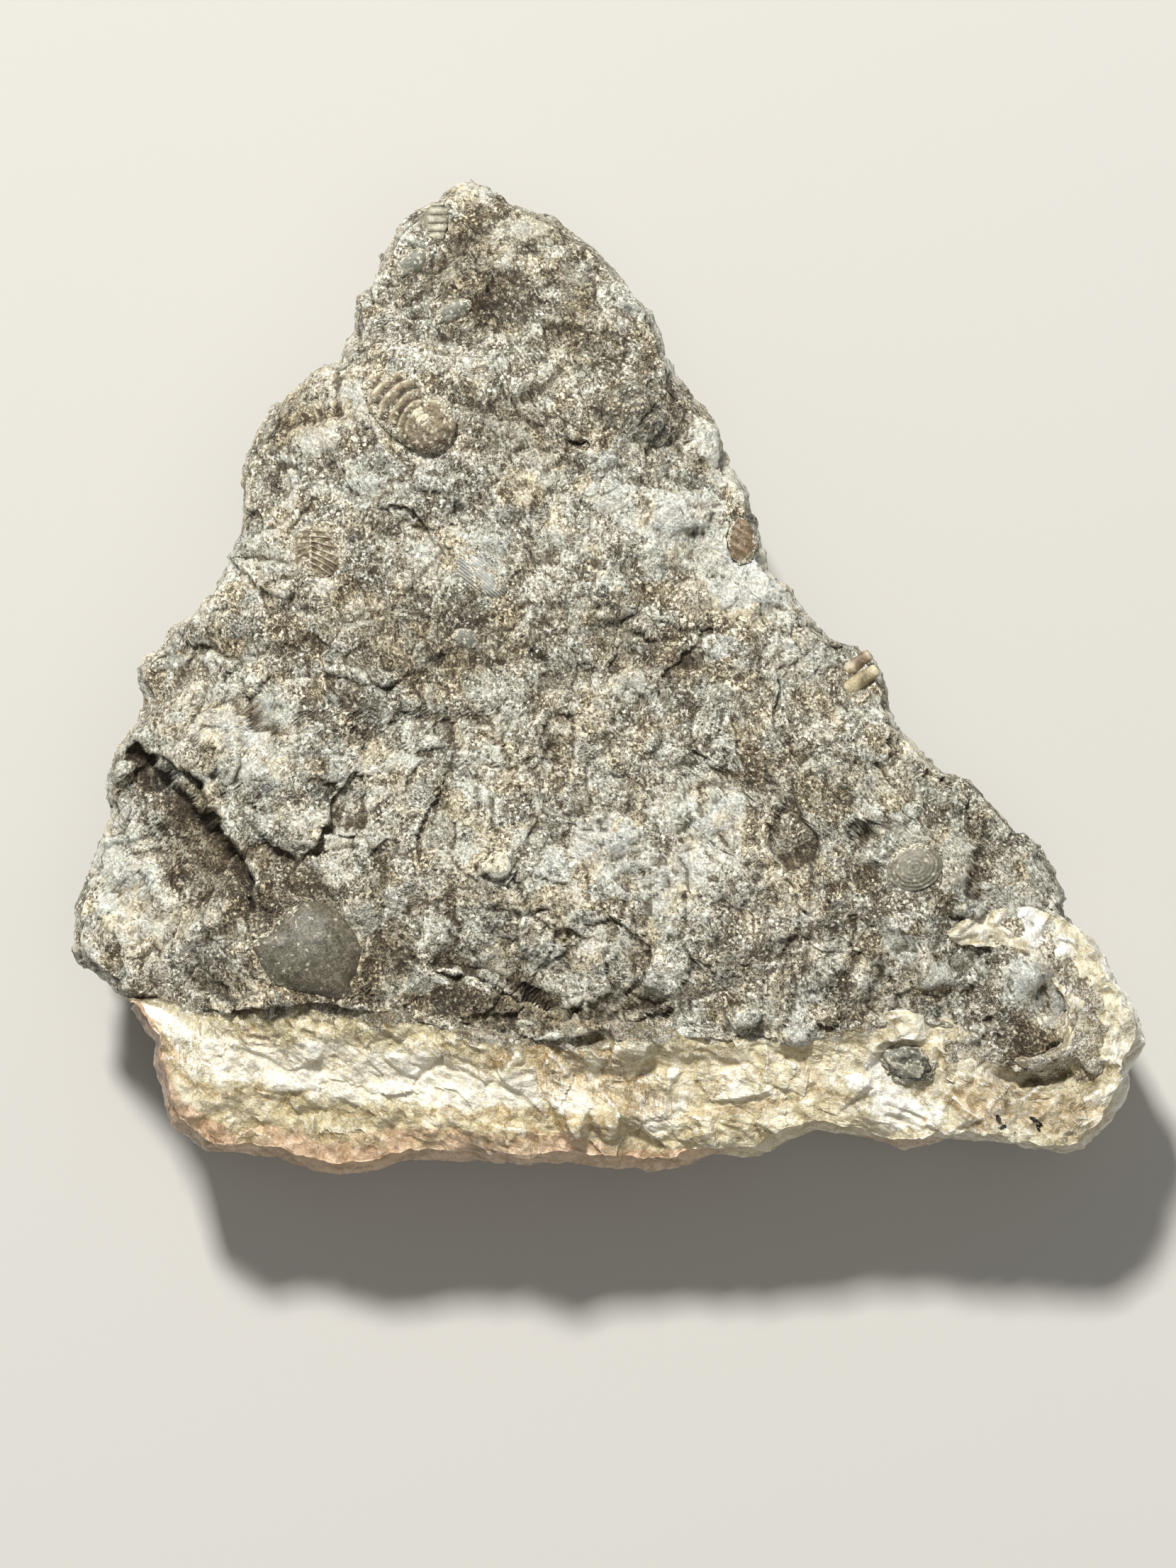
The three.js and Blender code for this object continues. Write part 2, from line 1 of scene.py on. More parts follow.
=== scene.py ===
# %% [markdown]
# # A piece of limestone with trilobite tails
#
# The object is a hand specimen: a wedge of grey-brown limestone, crowded with broken shells and
# the ribbed tails of trilobites, with a vein of cream calcite grown along one side. It lies on its
# back, and we look straight down on the fossil face.
#
# The solids come first, as a fixed frame. Everything that follows is fitted to them, in metres, so
# nothing has to be scaled or moved afterwards.

# %% The fixed frame
import itertools

import bpy
import numpy as np
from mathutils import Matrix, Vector


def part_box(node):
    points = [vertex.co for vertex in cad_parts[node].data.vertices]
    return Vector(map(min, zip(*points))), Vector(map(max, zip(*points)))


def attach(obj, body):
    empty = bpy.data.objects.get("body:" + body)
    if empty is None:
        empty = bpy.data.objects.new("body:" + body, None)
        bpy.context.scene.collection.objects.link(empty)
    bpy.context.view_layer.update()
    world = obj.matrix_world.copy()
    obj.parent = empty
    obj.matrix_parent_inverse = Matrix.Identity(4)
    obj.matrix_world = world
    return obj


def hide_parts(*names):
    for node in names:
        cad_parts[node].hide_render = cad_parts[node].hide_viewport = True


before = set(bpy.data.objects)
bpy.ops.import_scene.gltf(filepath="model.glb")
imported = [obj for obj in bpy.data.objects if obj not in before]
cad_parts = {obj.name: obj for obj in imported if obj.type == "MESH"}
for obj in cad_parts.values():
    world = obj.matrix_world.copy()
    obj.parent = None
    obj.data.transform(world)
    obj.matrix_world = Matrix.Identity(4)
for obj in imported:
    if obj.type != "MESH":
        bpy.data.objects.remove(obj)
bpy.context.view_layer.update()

MM = 0.001                     # shapes are worked out in millimetres and stored in metres


# %% [markdown]
# ## Numbers that make broken stone
#
# Stone has no formula, but the way it breaks does: lumps at every size, and flat faces where grains
# have parted. A picture could hold them, but it would blur close up. Instead each whole-number point
# of a lattice gets a fixed number by mixing the bits of its coordinates. The same stone comes out on
# every run, and it has detail at any size we ask for.

# %% Fixed numbers on a lattice, and smooth noise between them
def mixed_bits(i, j, k):
    """A fixed number from -1 to 1 for each lattice point: multiply, exclusive-or and shift."""
    i, j, k = (np.asarray(n).astype(np.int64).astype(np.uint32) for n in (i, j, k))
    mixed = (i * np.uint32(374761393)) ^ (j * np.uint32(668265263)) ^ (k * np.uint32(1274126177))
    mixed = (mixed ^ (mixed >> np.uint32(13))) * np.uint32(1274126177)
    return (mixed ^ (mixed >> np.uint32(16))) / 2147483647.5 - 1


def smoothstep(value, low, high):
    """0 below low, 1 above high, and 3t^2 - 2t^3 between them."""
    t = np.clip((value - low) / (high - low), 0, 1)
    return t * t * (3 - 2 * t)


def mix(a, b, share):
    return a + (b - a) * share


def turned(x, y, degrees):
    """The distances along and across a direction: x cos t + y sin t and y cos t - x sin t."""
    c, s = np.cos(np.radians(degrees)), np.sin(np.radians(degrees))
    return x * c + y * s, y * c - x * s


def smooth_noise(x, y, seed):
    """Bilinear blend of the four lattice numbers round each point, eased by smoothstep."""
    i, j = np.floor(x), np.floor(y)
    u, v = smoothstep(x - i, 0, 1), smoothstep(y - j, 0, 1)
    low = mix(mixed_bits(i, j, seed), mixed_bits(i + 1, j, seed), u)
    high = mix(mixed_bits(i, j + 1, seed), mixed_bits(i + 1, j + 1, seed), u)
    return mix(low, high, v)


def ruggedness(x, y, width, seed):
    """Three layers of smooth noise, each half as wide and half as high as the one before."""
    return sum(smooth_noise(x * s / width, y * s / width, seed + n) / s for n, s in enumerate((1, 2, 4)))


def crystal_faces(x, y, width, seed):
    """Flat faces: each point takes the tilted plane of the nearest scattered cell middle."""
    i, j = np.floor(x / width), np.floor(y / width)
    nearest = np.full(np.shape(x), np.inf)
    height = np.zeros(np.shape(x))
    for a, b in itertools.product((-1, 0, 1), repeat=2):
        p, q = i + a, j + b
        dx = x - (p + 0.5 + 0.4 * mixed_bits(p, q, seed)) * width
        dy = y - (q + 0.5 + 0.4 * mixed_bits(p, q, seed + 1)) * width
        distance = np.hypot(dx, dy)
        tilt = (mixed_bits(p, q, seed + 2) * dx + mixed_bits(p, q, seed + 3) * dy) / width
        plane = mixed_bits(p, q, seed + 4) + 1.4 * tilt
        closer = distance < nearest
        nearest = np.where(closer, distance, nearest)
        height = np.where(closer, plane, height)
    return height


# %% [markdown]
# The face of the stone can be worked out on a flat map, but its walls can't, so the fine roughness is
# worked out in three dimensions. The noise is the same idea with eight corners, and the broken faces
# look through the twenty-seven cells round each point.

# %% Roughness in three dimensions
def noise_3d(points, width, seed):
    """Blend of the eight lattice numbers round each point."""
    scaled = points / width
    corner = np.floor(scaled)
    u, v, w = smoothstep(scaled - corner, 0, 1).T
    i, j, k = corner.T
    layers = []
    for step in (0, 1):
        depth = (k + step) * 131 + seed
        low = mix(mixed_bits(i, j, depth), mixed_bits(i + 1, j, depth), u)
        high = mix(mixed_bits(i, j + 1, depth), mixed_bits(i + 1, j + 1, depth), u)
        layers.append(mix(low, high, v))
    return mix(layers[0], layers[1], w)


def broken_3d(points, width, seed, tilt=1.4, step=1.0, saw=None):
    """Height of the nearest scattered cell's own tilted plane, or a saw of the given pitch across it."""
    cell = np.floor(points / width)
    nearest = np.full(len(points), np.inf)
    owner = np.zeros_like(points)
    away_from_owner = np.zeros_like(points)
    for shift in itertools.product((-1, 0, 1), repeat=3):
        i, j, k = (cell + shift).T
        depth = k * 131 + seed
        jitter = np.stack([mixed_bits(i, j, depth + 17 * n) for n in range(3)], 1)
        away = points - (cell + shift + 0.5 + 0.4 * jitter) * width
        distance = (away ** 2).sum(1)
        closer = distance < nearest
        nearest[closer] = distance[closer]
        owner[closer] = (cell + shift)[closer]
        away_from_owner[closer] = away[closer]
    i, j, k = owner.T
    depth = k * 131 + seed + 71
    lean = np.stack([mixed_bits(i, j, depth + 13 * n) for n in range(3)], 1)
    across = (lean * away_from_owner).sum(1)
    if saw:
        return across / (saw * np.linalg.norm(lean, axis=1)) % 1
    return step * mixed_bits(i, j, depth + 59) + tilt * across / width


def facets(x, y, width, turn, seed):
    """Flat triangles between fixed heights at the corners of a turned triangle lattice."""
    c, w = np.cos(np.radians(turn)) / width, np.sin(np.radians(turn)) / width
    across, along = x * c - y * w, x * w + y * c
    skew = 0.366 * (across + along)
    across, along = across + skew, along + skew
    i, j = np.floor(across), np.floor(along)
    u, v = across - i, along - j
    high, low = np.maximum(u, v), np.minimum(u, v)
    between = mixed_bits(i + (u > v), j + (u <= v), seed)
    corners = mixed_bits(i, j, seed), mixed_bits(i + 1, j + 1, seed)
    return corners[0] * (1 - high) + between * (high - low) + corners[1] * low


print("fixed numbers ready, for example", round(float(mixed_bits(3, 4, 5)), 4))


# %% [markdown]
# ## The form of the specimen
#
# The solids were made from a few named things: an outline, the line where limestone meets calcite,
# the planes that the face broke along, some steps, and a list of lumps and pits. The finished surface
# uses the same ones, so that it follows the solids closely, and then adds what they are too coarse
# to hold.

# %% Outline and contact, in millimetres
FACE_HEIGHT = 36.5
BROW_INSET = 1.4
BROW_LEVEL = 0.8
FOOT_INSET = 5.5
WALL_CHIPS = 13
BACK_SHAVE = 1.6
CORE = np.array([-8, -3.5])

# clockwise from where the vein meets the left edge, to the right end of the limestone
LIMESTONE_OUTLINE = [
    # left edge
    (-54.1, -36.4), (-55.6, -35.6), (-58.6, -32.8), (-59.9, -32), (-60.4, -30.6), (-60.3, -28.3),
    (-60, -25.1), (-58.4, -21.6), (-58.5, -20.6), (-57.5, -17.7), (-56.5, -15.6), (-57, -13.4),
    (-56.9, -12.2), (-56, -8.5), (-53.8, -5.2), (-52.4, -3.5), (-52.5, -1.9), (-53.4, -0.4),
    (-53.5, 1), (-52.5, 2.4), (-50.9, 3), (-49.1, 5.9), (-47.5, 6.5), (-46.2, 7.7), (-44.4, 10),
    (-42.8, 13.6), (-41.8, 16.9), (-41.6, 22.2), (-40.9, 24.8), (-39.9, 27.7), (-38, 30.2),
    (-33.6, 34.4), (-32.4, 35.3), (-30.3, 35.7), (-29.8, 37.9), (-28.7, 38.9), (-28.3, 42.8),
    (-26.8, 44.4), (-25.6, 47.7), (-24, 50.6), (-22.5, 52), (-17.6, 55.5),
    # tip and right edge
    (-15.6, 56.3), (-13.9, 55.9), (-10.4, 53.4), (-8.4, 52.4), (-6.8, 52), (-4.4, 50.2),
    (-2.3, 48.9), (2.2, 43.8), (3.8, 41.8), (5.6, 38.9), (5.9, 37.1), (7.1, 34), (9.2, 32),
    (11.6, 29.2), (12.8, 26.5), (13.6, 23.8), (15.2, 21.4), (16.8, 16), (17.3, 12.8),
    (18.7, 10.6), (20.5, 9.6), (21.8, 7.1), (23.8, 5.1), (25.6, 4), (27.7, 3.8), (29.4, 2.3),
    (30.7, 0.4), (31.4, -1.6), (31.2, -3.2), (32.3, -5.5), (34.4, -7.4), (36.5, -9.9),
    (37.7, -10.9), (40.3, -11.8), (42.4, -13.6), (45.9, -17.6), (47.6, -18.4), (48.5, -20.1),
    (50.3, -23.8), (51.6, -27.6), (54.4, -30.6), (55.6, -34.2),
]
# back to the left edge, along the vein
CONTACT = [
    (54.2, -36.2), (53.4, -43.4), (45.5, -44.1), (38.3, -39.2), (32, -38.2), (26.5, -40),
    (15.1, -40.6), (0, -39.3), (-11.4, -41), (-21.6, -38.6), (-31.3, -36.3), (-36.9, -36.4),
    (-45.7, -37.5), (-50.1, -36.4),
]
# the contact as the solids have it, with the band of calcite above the blunt right end
SOLID_CONTACT = [(-66, -36.2), *reversed(CONTACT[1:]), (54.2, -35.6), (51.2, -32.2), (45.1, -29.2),
                 (40.4, -28.2), (41.7, -25.2), (48.8, -26.5), (66, -28)]

# direction a plane falls in (degrees from +X), distance of its upper edge, and slope
FACE_PLANES = [(35, 13, 0.42), (-26, 38, 0.28), (96, 34, 0.36), (150, 36, 0.42), (198, 44, 0.36),
               (270, 30, 0.24)]

# drop, how far the low side takes to rise again, and the line, low side on its right
LEDGES = [
    (3.6, 60, [(-53.1, -7.4), (-48, -12), (-43.9, -17.5), (-39.1, -24)]),
    (2.2, 9, [(-41.6, -26.4), (-39.8, -29.6), (-37.7, -33.6)]),
    (1.6, 7, [(-1.5, 25.8), (-5.1, 27.6), (-8.5, 28.9), (-10.7, 31.7)]),
    (4.2, 10, [(8, -36.4), (0, -38.6), (-6, -37.8), (-14, -33.4), (-22, -32.3)]),
    (2.0, 8, [(-27, -17.2), (-32.4, -17.4)]),
    (1.4, 6, [(26.9, -5.1), (25.8, -2)]),
]

# middle, half widths, height
LUMPS = [
    (3, 29.3, 5.5, 4, 1.2), (9.1, 18.9, 4.5, 3, 1.1), (15.9, 11.2, 4, 5, 1), (-0.5, 8.7, 4, 3, 0.8),
    (-0.6, -18.4, 4, 3, 0.9), (11.9, -15.9, 4.5, 3.5, 1), (-43, -7.5, 5, 4, 1.8), (-14.5, -2, 9, 4, 0.7),
    (-38.3, -10.4, 5, 3, 1.2), (-13, -21.3, 1.9, 1.8, 1.6), (14.8, -38.2, 1.8, 1.6, 1.6),
    (39.6, -26, 2.6, 2.2, 1.3), (-36.5, 10.3, 1.6, 1.4, 1.1), (-32.5, 26.5, 3.5, 2.5, 0.9),
    (46.9, -33, 3.5, 4, 1.2), (-34, -20.6, 8, 3.6, -3.2), (-48, -20, 5, 4.5, -1.6),
    (8.8, 1.9, 1.6, 1.4, -0.9), (28.2, -17.8, 1.8, 1.6, -2), (-17.3, 18.8, 2, 1.4, -1.4),
    (-53.6, -8.8, 1.8, 1.3, -2.4), (-6, 14, 3.4, 2.2, -1.1), (16, -24, 4, 5, -1), (22, -31, 5, 3, -1.2),
]
HOLLOW = (48.3, -44.4, 7.4, 2.2, -6)
print("outline points:", len(LIMESTONE_OUTLINE) + len(CONTACT), "lumps and pits:", len(LUMPS))


# %% Heights of the broken face
def lump(x, y, shape):
    """1 in the middle, falling to 0 at a quarter beyond the ellipse."""
    return 1 - smoothstep(np.hypot((x - shape[0]) / shape[2], (y - shape[1]) / shape[3]), 0, 1.25)


def beside_line(x, y, line):
    """Distance to an open line, its side (+1 on the right) and the share of its length."""
    best = np.full(np.shape(x), np.inf)
    side, along = np.ones(np.shape(x)), np.zeros(np.shape(x))
    for n, ((ax, ay), (bx, by)) in enumerate(itertools.pairwise(line)):
        length = np.hypot(bx - ax, by - ay)
        ux, uy = (bx - ax) / length, (by - ay) / length
        t = np.clip((x - ax) * ux + (y - ay) * uy, 0, length)
        distance = np.hypot(x - ax - ux * t, y - ay - uy * t)
        closer = distance < best
        best = np.where(closer, distance, best)
        side = np.where(closer, np.where((x - ax) * uy - (y - ay) * ux < 0, -1, 1), side)
        along = np.where(closer, (n + t / length) / (len(line) - 1), along)
    return best, side, along


def ledge_drop(x, y, ledge, sharpness):
    """How far a step lowers the face: a quick fall at its line and a slow rise beyond it."""
    drop, reach, line = ledge
    distance, side, along = beside_line(x, y, line)
    ends = smoothstep(along, -0.01, 0.15) * (1 - smoothstep(along, 0.85, 1.01))
    fall = np.maximum(ends, 0.15) * smoothstep(distance, 0, sharpness) * (1 - distance / reach)
    return np.where((side > 0) & (distance < reach), drop * fall, 0)


def limestone_top(x, y, sharpness=1.2):
    """Planes that fall away at the edges, plus ruggedness, minus steps, plus lumps and pits."""
    height = FACE_HEIGHT + 1.15 * ruggedness(x, y, 12, 20) + 0.5 * ruggedness(x, y, 5, 40)
    for towards, start, slope in FACE_PLANES:
        angle = np.radians(towards)
        beyond = x * np.cos(angle) + y * np.sin(angle) - start
        height -= slope * 0.5 * (beyond + np.hypot(beyond, 3))
    for ledge in LEDGES:
        height -= ledge_drop(x, y, ledge, sharpness)
    for shape in LUMPS:
        height += shape[4] * lump(x, y, shape)
    return height


def calcite_top(x, y):
    """A slope in two tiers from the contact to the lower edge, with grown-together crystals."""
    distance = beside_line(x, y, SOLID_CONTACT)[0]
    below = np.minimum(distance, 17)
    wander = 1.4 * smooth_noise(x / 7, 0.5 + 0 * x, 71) + 0.9 * ruggedness(x, y, 2.6, 72)
    lower_tier = smoothstep(below, 9.6 + wander, 13.2 + wander)
    lower_tier *= 0.55 + 0.35 * smooth_noise(x / 5, y / 9, 73)
    contact_dip = 1.6 * (1 - smoothstep(distance, 0, 3.5))
    fall = 0.3 * below + 3 * lower_tier + contact_dip
    bend_x, bend_y = 1.3 * ruggedness(x, y, 4, 84), 1.3 * ruggedness(x, y, 4, 86)
    crystals = 0.15 * crystal_faces(x + bend_x, y + bend_y, 5.2, 80) + 0.15 * ruggedness(x, y, 3.6, 90)
    right_end = 4 * smoothstep(x, 30, 60)
    return 32 - fall - right_end + crystals + HOLLOW[4] * lump(x + bend_x, y + 0.8 * bend_y, HOLLOW)


probe = np.array([[-8, -3], [30, -20], [-55, -25]], float)
print("face heights:", np.round(limestone_top(*probe.T), 1))


# %% [markdown]
# ## Putting a surface into a mesh
#
# Each piece is a set of grids, worked out as whole arrays, and one helper turns them into a mesh. It
# also stores what each point knows about itself, such as how bruised or how glassy the stone is
# there, as attributes that the materials read.

# %% Mesh helpers
def stone_mesh(name, points, faces, marks=None, smooth=True):
    """A mesh object with its place in its mesh, from points in millimetres and lists of faces."""
    mesh = bpy.data.meshes.new(name)
    mesh.from_pydata(points * MM, [], list(itertools.chain(*[f.tolist() for f in faces])))
    mesh.polygons.foreach_set("use_smooth", np.full(len(mesh.polygons), smooth))
    for label, values in (marks or {}).items():
        layer = mesh.attributes.new(label, "FLOAT", "POINT")
        layer.data.foreach_set("value", values.astype(np.float32))
    mesh.update()
    piece = bpy.data.objects.new(name, mesh)
    bpy.context.scene.collection.objects.link(piece)
    return piece


def stand_in(piece, solid):
    """Rides a finished piece on the one body, in the place of its solid, and hides the solid."""
    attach(piece, "root")
    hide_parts(solid)
    return piece


def grid_faces(index):
    """The quads of a grid of point numbers, turned so that rows x columns faces outwards."""
    return np.stack([index[:-1, :-1], index[:-1, 1:], index[1:, 1:], index[1:, :-1]], -1).reshape(-1, 4)


def outward_normals(points, faces):
    """Each point's normal: the sum of the cross products of the faces round it, made unit long."""
    total = np.zeros_like(points)
    for quads in faces:
        a, b, c = points[quads[:, 0]], points[quads[:, 1]], points[quads[:, -1]]
        opposite = points[quads[:, 2]]
        cross = np.cross(opposite - a, c - b) if quads.shape[1] == 4 else np.cross(b - a, c - a)
        for corner in range(quads.shape[1]):
            for axis in range(3):
                total[:, axis] += np.bincount(quads[:, corner], cross[:, axis], len(points))
    return total / np.maximum(np.linalg.norm(total, axis=1, keepdims=True), 1e-12)


def walk_outline(outline, shares):
    """Points at shares of the way round a closed outline, measured along its length."""
    closed = np.vstack([outline, outline[:1]])
    lengths = np.hypot(*np.diff(closed, axis=0).T)
    reached = np.concatenate([[0], np.cumsum(lengths)])
    wanted = (shares % 1) * reached[-1]
    return np.stack([np.interp(wanted, reached, closed[:, axis]) for axis in (0, 1)], -1)


print("mesh helpers ready")


# %% [markdown]
# ## The fossils' places
#
# The fossils are seated in the stone, so their places come first: the stone is levelled round each
# one and sunk a little beneath it. Each fossil's solid says where it is. Its outline is a short list
# of points round its middle.

# %% Fossil seats
TAIL_OUTLINE = [(3.3, -0.2), (3.3, 0.9), (2.6, 2.5), (1.8, 3.4), (-0.4, 3.4), (-1, 4.7), (-2, 6.1),
                (-3.3, 6.4), (-4.9, 6.3), (-6.3, 5.8), (-7.3, 4.6), (-6.5, 2), (-5.2, 0.4), (-4.2, -0.6),
                (-3.1, -1.4), (-1.7, -2.3), (-0.4, -2.8), (1.2, -2.8), (2.6, -1.7)]
AXIS_OUTLINE = [(1.2, 0), (1.2, 1.2), (0.7, 2.2), (-0.4, 2.3), (-1.1, 1.4), (-2.3, 0.7), (-2.2, -0.6),
                (-1.1, -1.4), (-0.6, -2.2), (0.5, -2.2), (1, -1.2)]
FAN_OUTLINE = [(3.4, 0.4), (3, 1.9), (1.6, 3), (-0.4, 3.2), (-2.2, 2.4), (-3.2, 0.6), (-3, -1.4),
               (-1.6, -3.2), (0.2, -3.4), (1.8, -2.6), (2.8, -1.4)]
EDGE_OUTLINE = [(1.7, -0.6), (1.3, 0.9), (0.6, 2.2), (-0.4, 2.8), (-1.3, 1.6), (-1.7, 0), (-1.2, -1.9),
                (-0.2, -2.8), (1, -2.4)]
SHELL_OUTLINE = [(6.2, 0.3), (5.4, 1.8), (4.1, 3.6), (2.9, 4.8), (1.5, 5.3), (0.2, 5.6), (-1, 5.4),
                 (-2.7, 4.3), (-4, 2.7), (-5.7, 1.7), (-6.4, 1.2), (-6.3, 0.2), (-5.4, -1.7), (-4, -3.8),
                 (-2.2, -4.4), (-0.4, -4.8), (1.1, -4.9), (2.5, -5.4), (4.1, -5.5), (5, -4.8), (4.7, -3.5),
                 (5.4, -2.5), (6, -0.8)]

# name: middle, seat radius, depth of the underside, outline
CARVED = {
    "trilobite_tail": ((-20.5, 27.6), 6.4, 1.6, TAIL_OUTLINE),
    "small_tail_axis": ((-19.5, 51), 2.8, 1.2, AXIS_OUTLINE),
    "ribbed_fan": ((-32.4, 14.2), 4.2, 1.4, FAN_OUTLINE),
    "edge_tail": ((14.6, 15.2), 3.4, 2.2, EDGE_OUTLINE),
    "brachiopod_shell": ((-33.7, -30.5), 6.6, 2, SHELL_OUTLINE),
}
# name: middle, half sizes, turn in degrees
NUGGETS = {
    "thorax_bar_lower": ((28.6, 0.1), (2.5, 0.75, 0.8), 32),
    "thorax_bar_upper": ((28.3, 2.1), (1.9, 0.6, 0.7), 30),
    "curved_shell": ((-22.1, 46.4), (2.3, 1.3, 0.9), 38),
    "comma_shell": ((-17.6, 40.8), (2.4, 1.1, 0.9), 30),
    "shell_chip": ((-16.2, 4.2), (1.6, 1.1, 0.8), -15),
    "striated_shell": ((-14.5, 11.2), (3.3, 1.7, 1.1), -38),
    "disc_shell": ((33.8, -21.2), (3.2, 2.6, 1.1), 15),
}


def seat_level(name):
    """The height of the stone at a fossil: its solid's underside plus its depth, or its middle."""
    low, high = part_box(name)
    if name in CARVED:
        return low.z / MM + CARVED[name][2]
    return (low.z + high.z) / 2 / MM


def outline_ring(x, y, outline):
    """0 in the middle of an outline and 1 on it, along straight lines from the middle."""
    closed = np.array([*outline, outline[0]], float)
    angles = np.unwrap(np.arctan2(closed[:, 1], closed[:, 0]))
    reach = np.hypot(*closed.T)
    turn = angles[0] + (np.arctan2(y, x) - angles[0]) % (2 * np.pi)
    return np.hypot(x, y) / np.interp(turn, angles, reach)


def seat_the_fossils(x, y, height):
    """Levels the stone round each fossil, and sinks a pocket beneath it."""
    for name, (at, radius, depth, outline) in CARVED.items():
        dx, dy = x - at[0], y - at[1]
        level = seat_level(name)
        height = mix(level, height, smoothstep(np.hypot(dx, dy) / radius, 0.95, 2))
        height = np.where(outline_ring(dx, dy, outline) < 0.9, level - 0.7 * depth, height)
    for name, (at, size, _) in NUGGETS.items():
        dx, dy = x - at[0], y - at[1]
        away = np.hypot(dx, dy) / (size[0] * 1.15)
        height = mix(seat_level(name) - 0.1, height, smoothstep(away, 0.8, 2.2))
    return height


print("fossil levels in mm:", {name: round(seat_level(name), 1) for name in [*CARVED, *NUGGETS]})


# %% [markdown]
# ## The limestone block
#
# A block with a face, walls and a back could be sculpted, or cut from a cube. Here a square sheet is
# stretched over the outline: its square rings become rings of the outline, so there is no pinched
# middle and the rim gets even cells. Walls hang from the rim, row by row, and a coarser sheet closes
# the back, with a row of triangles where four small cells meet one large one.

# %% A closed block over an outline
def ring_and_turn(u, v):
    """For a point of the square -1..1: which square ring it is on, and how far round it."""
    ring = np.maximum(np.abs(u), np.abs(v))
    safe = np.maximum(ring, 1e-9)
    sideways = np.where(u > 0, v / safe / 8, 0.5 - v / safe / 8)
    upright = np.where(v > 0, 0.25 - u / safe / 8, 0.75 + u / safe / 8)
    return ring, np.where(np.abs(u) >= np.abs(v), sideways, upright)


def rim_of(index):
    """The outer points of a square grid, counterclockwise from its lower left corner."""
    return np.concatenate([index[0, :-1], index[:-1, -1], index[-1, :0:-1], index[:0:-1, 0]])


def sheet_over(outline, cells):
    """Grid of plan positions over an outline, with each point's ring and edge point."""
    u, v = np.meshgrid(np.linspace(-1, 1, cells + 1), np.linspace(-1, 1, cells + 1))
    ring, turn = ring_and_turn(u, v)
    edge = walk_outline(outline, turn.ravel()).reshape(*turn.shape, 2)
    return ring, edge


def close_block(cells, rows, ratio):
    """Point numbers of the face and of the coarser back, and all faces with the walls between them."""
    face = np.arange((cells + 1) ** 2).reshape(cells + 1, cells + 1)
    rim = rim_of(face)
    count = face.size + len(rim) * rows
    walls = np.vstack([rim, np.arange(face.size, count).reshape(rows, len(rim))])
    loop = np.hstack([walls, walls[:, :1]])
    coarse = cells // ratio
    back = count + np.arange((coarse + 1) ** 2).reshape(coarse + 1, coarse + 1)
    back_rim = rim_of(back)
    foot = walls[-1]
    step = np.arange(len(back_rim))
    stitches = [np.stack([foot[(step * ratio + n) % len(rim)], back_rim,
                          foot[(step * ratio + n + 1) % len(rim)]], -1) for n in range(ratio)]
    closing = np.stack([foot[(step * ratio + ratio) % len(rim)], back_rim,
                        np.roll(back_rim, -1)], -1)
    faces = [grid_faces(face), grid_faces(loop)[:, ::-1], grid_faces(back)[:, ::-1],
             np.vstack([*stitches, closing])]
    return face, back, faces


print("a block of 8 cells has", sum(len(f) for f in close_block(8, 2, 4)[2]), "faces")


# %% [markdown]
# The walls draw in towards the foot and are broken in facets as wide as a thumb, and the back is
# shaved flat where it rests. Where the limestone is buried in the vein, its wall goes straight down.

# %% Walls and back of the limestone
def chipped_depth(x, y, seed):
    """How deep the broken facets of the walls and the back are cut in, from 0 to 4."""
    chips = crystal_faces(x, y, WALL_CHIPS, seed) + 0.35 * ruggedness(x, y, 7, seed + 9)
    return np.clip(1.2 + 1.3 * chips, 0, 4)


def wall_inset(edge, level, buried):
    """How far a wall lies inside the outline: out to the brow, then in to the foot."""
    below = np.clip(1 - level / BROW_LEVEL, 0, 1)
    chip = chipped_depth(edge[..., 0] + 24 * level, edge[..., 1] - 19 * level, 55)
    foot = FOOT_INSET * (1 + 0.5 * smooth_noise(edge[..., 0] / 22, edge[..., 1] / 22, 57))
    hanging = foot * below ** 1.5 + chip * smoothstep(below, 0, 0.3)
    rising = BROW_INSET * smoothstep(level, BROW_LEVEL, 1)
    return np.where(level > BROW_LEVEL, rising, hanging) * (1 - buried)


def back_height(x, y, ring):
    """Level patches at 0, chips cut up into the back, and a lift towards the foot of the walls."""
    return np.maximum(0, chipped_depth(x, y, 61) - BACK_SHAVE) + 2.4 * smoothstep(ring, 0.9, 1)


print("chip depths:", np.round(chipped_depth(*probe.T, 55), 2))


# %% The limestone's coarse form
LIME_CELLS = 252
LIME_ROWS = 22
BACK_RATIO = 4
lime_outline = np.array([*LIMESTONE_OUTLINE, *CONTACT], float)[::-1]


def is_buried(edge):
    """1 along the contact with the vein, 0 on the free outline, easing over 2 mm."""
    to_contact = beside_line(edge[..., 0], edge[..., 1], CONTACT)[0]
    return 1 - smoothstep(to_contact, 0.05, 2)


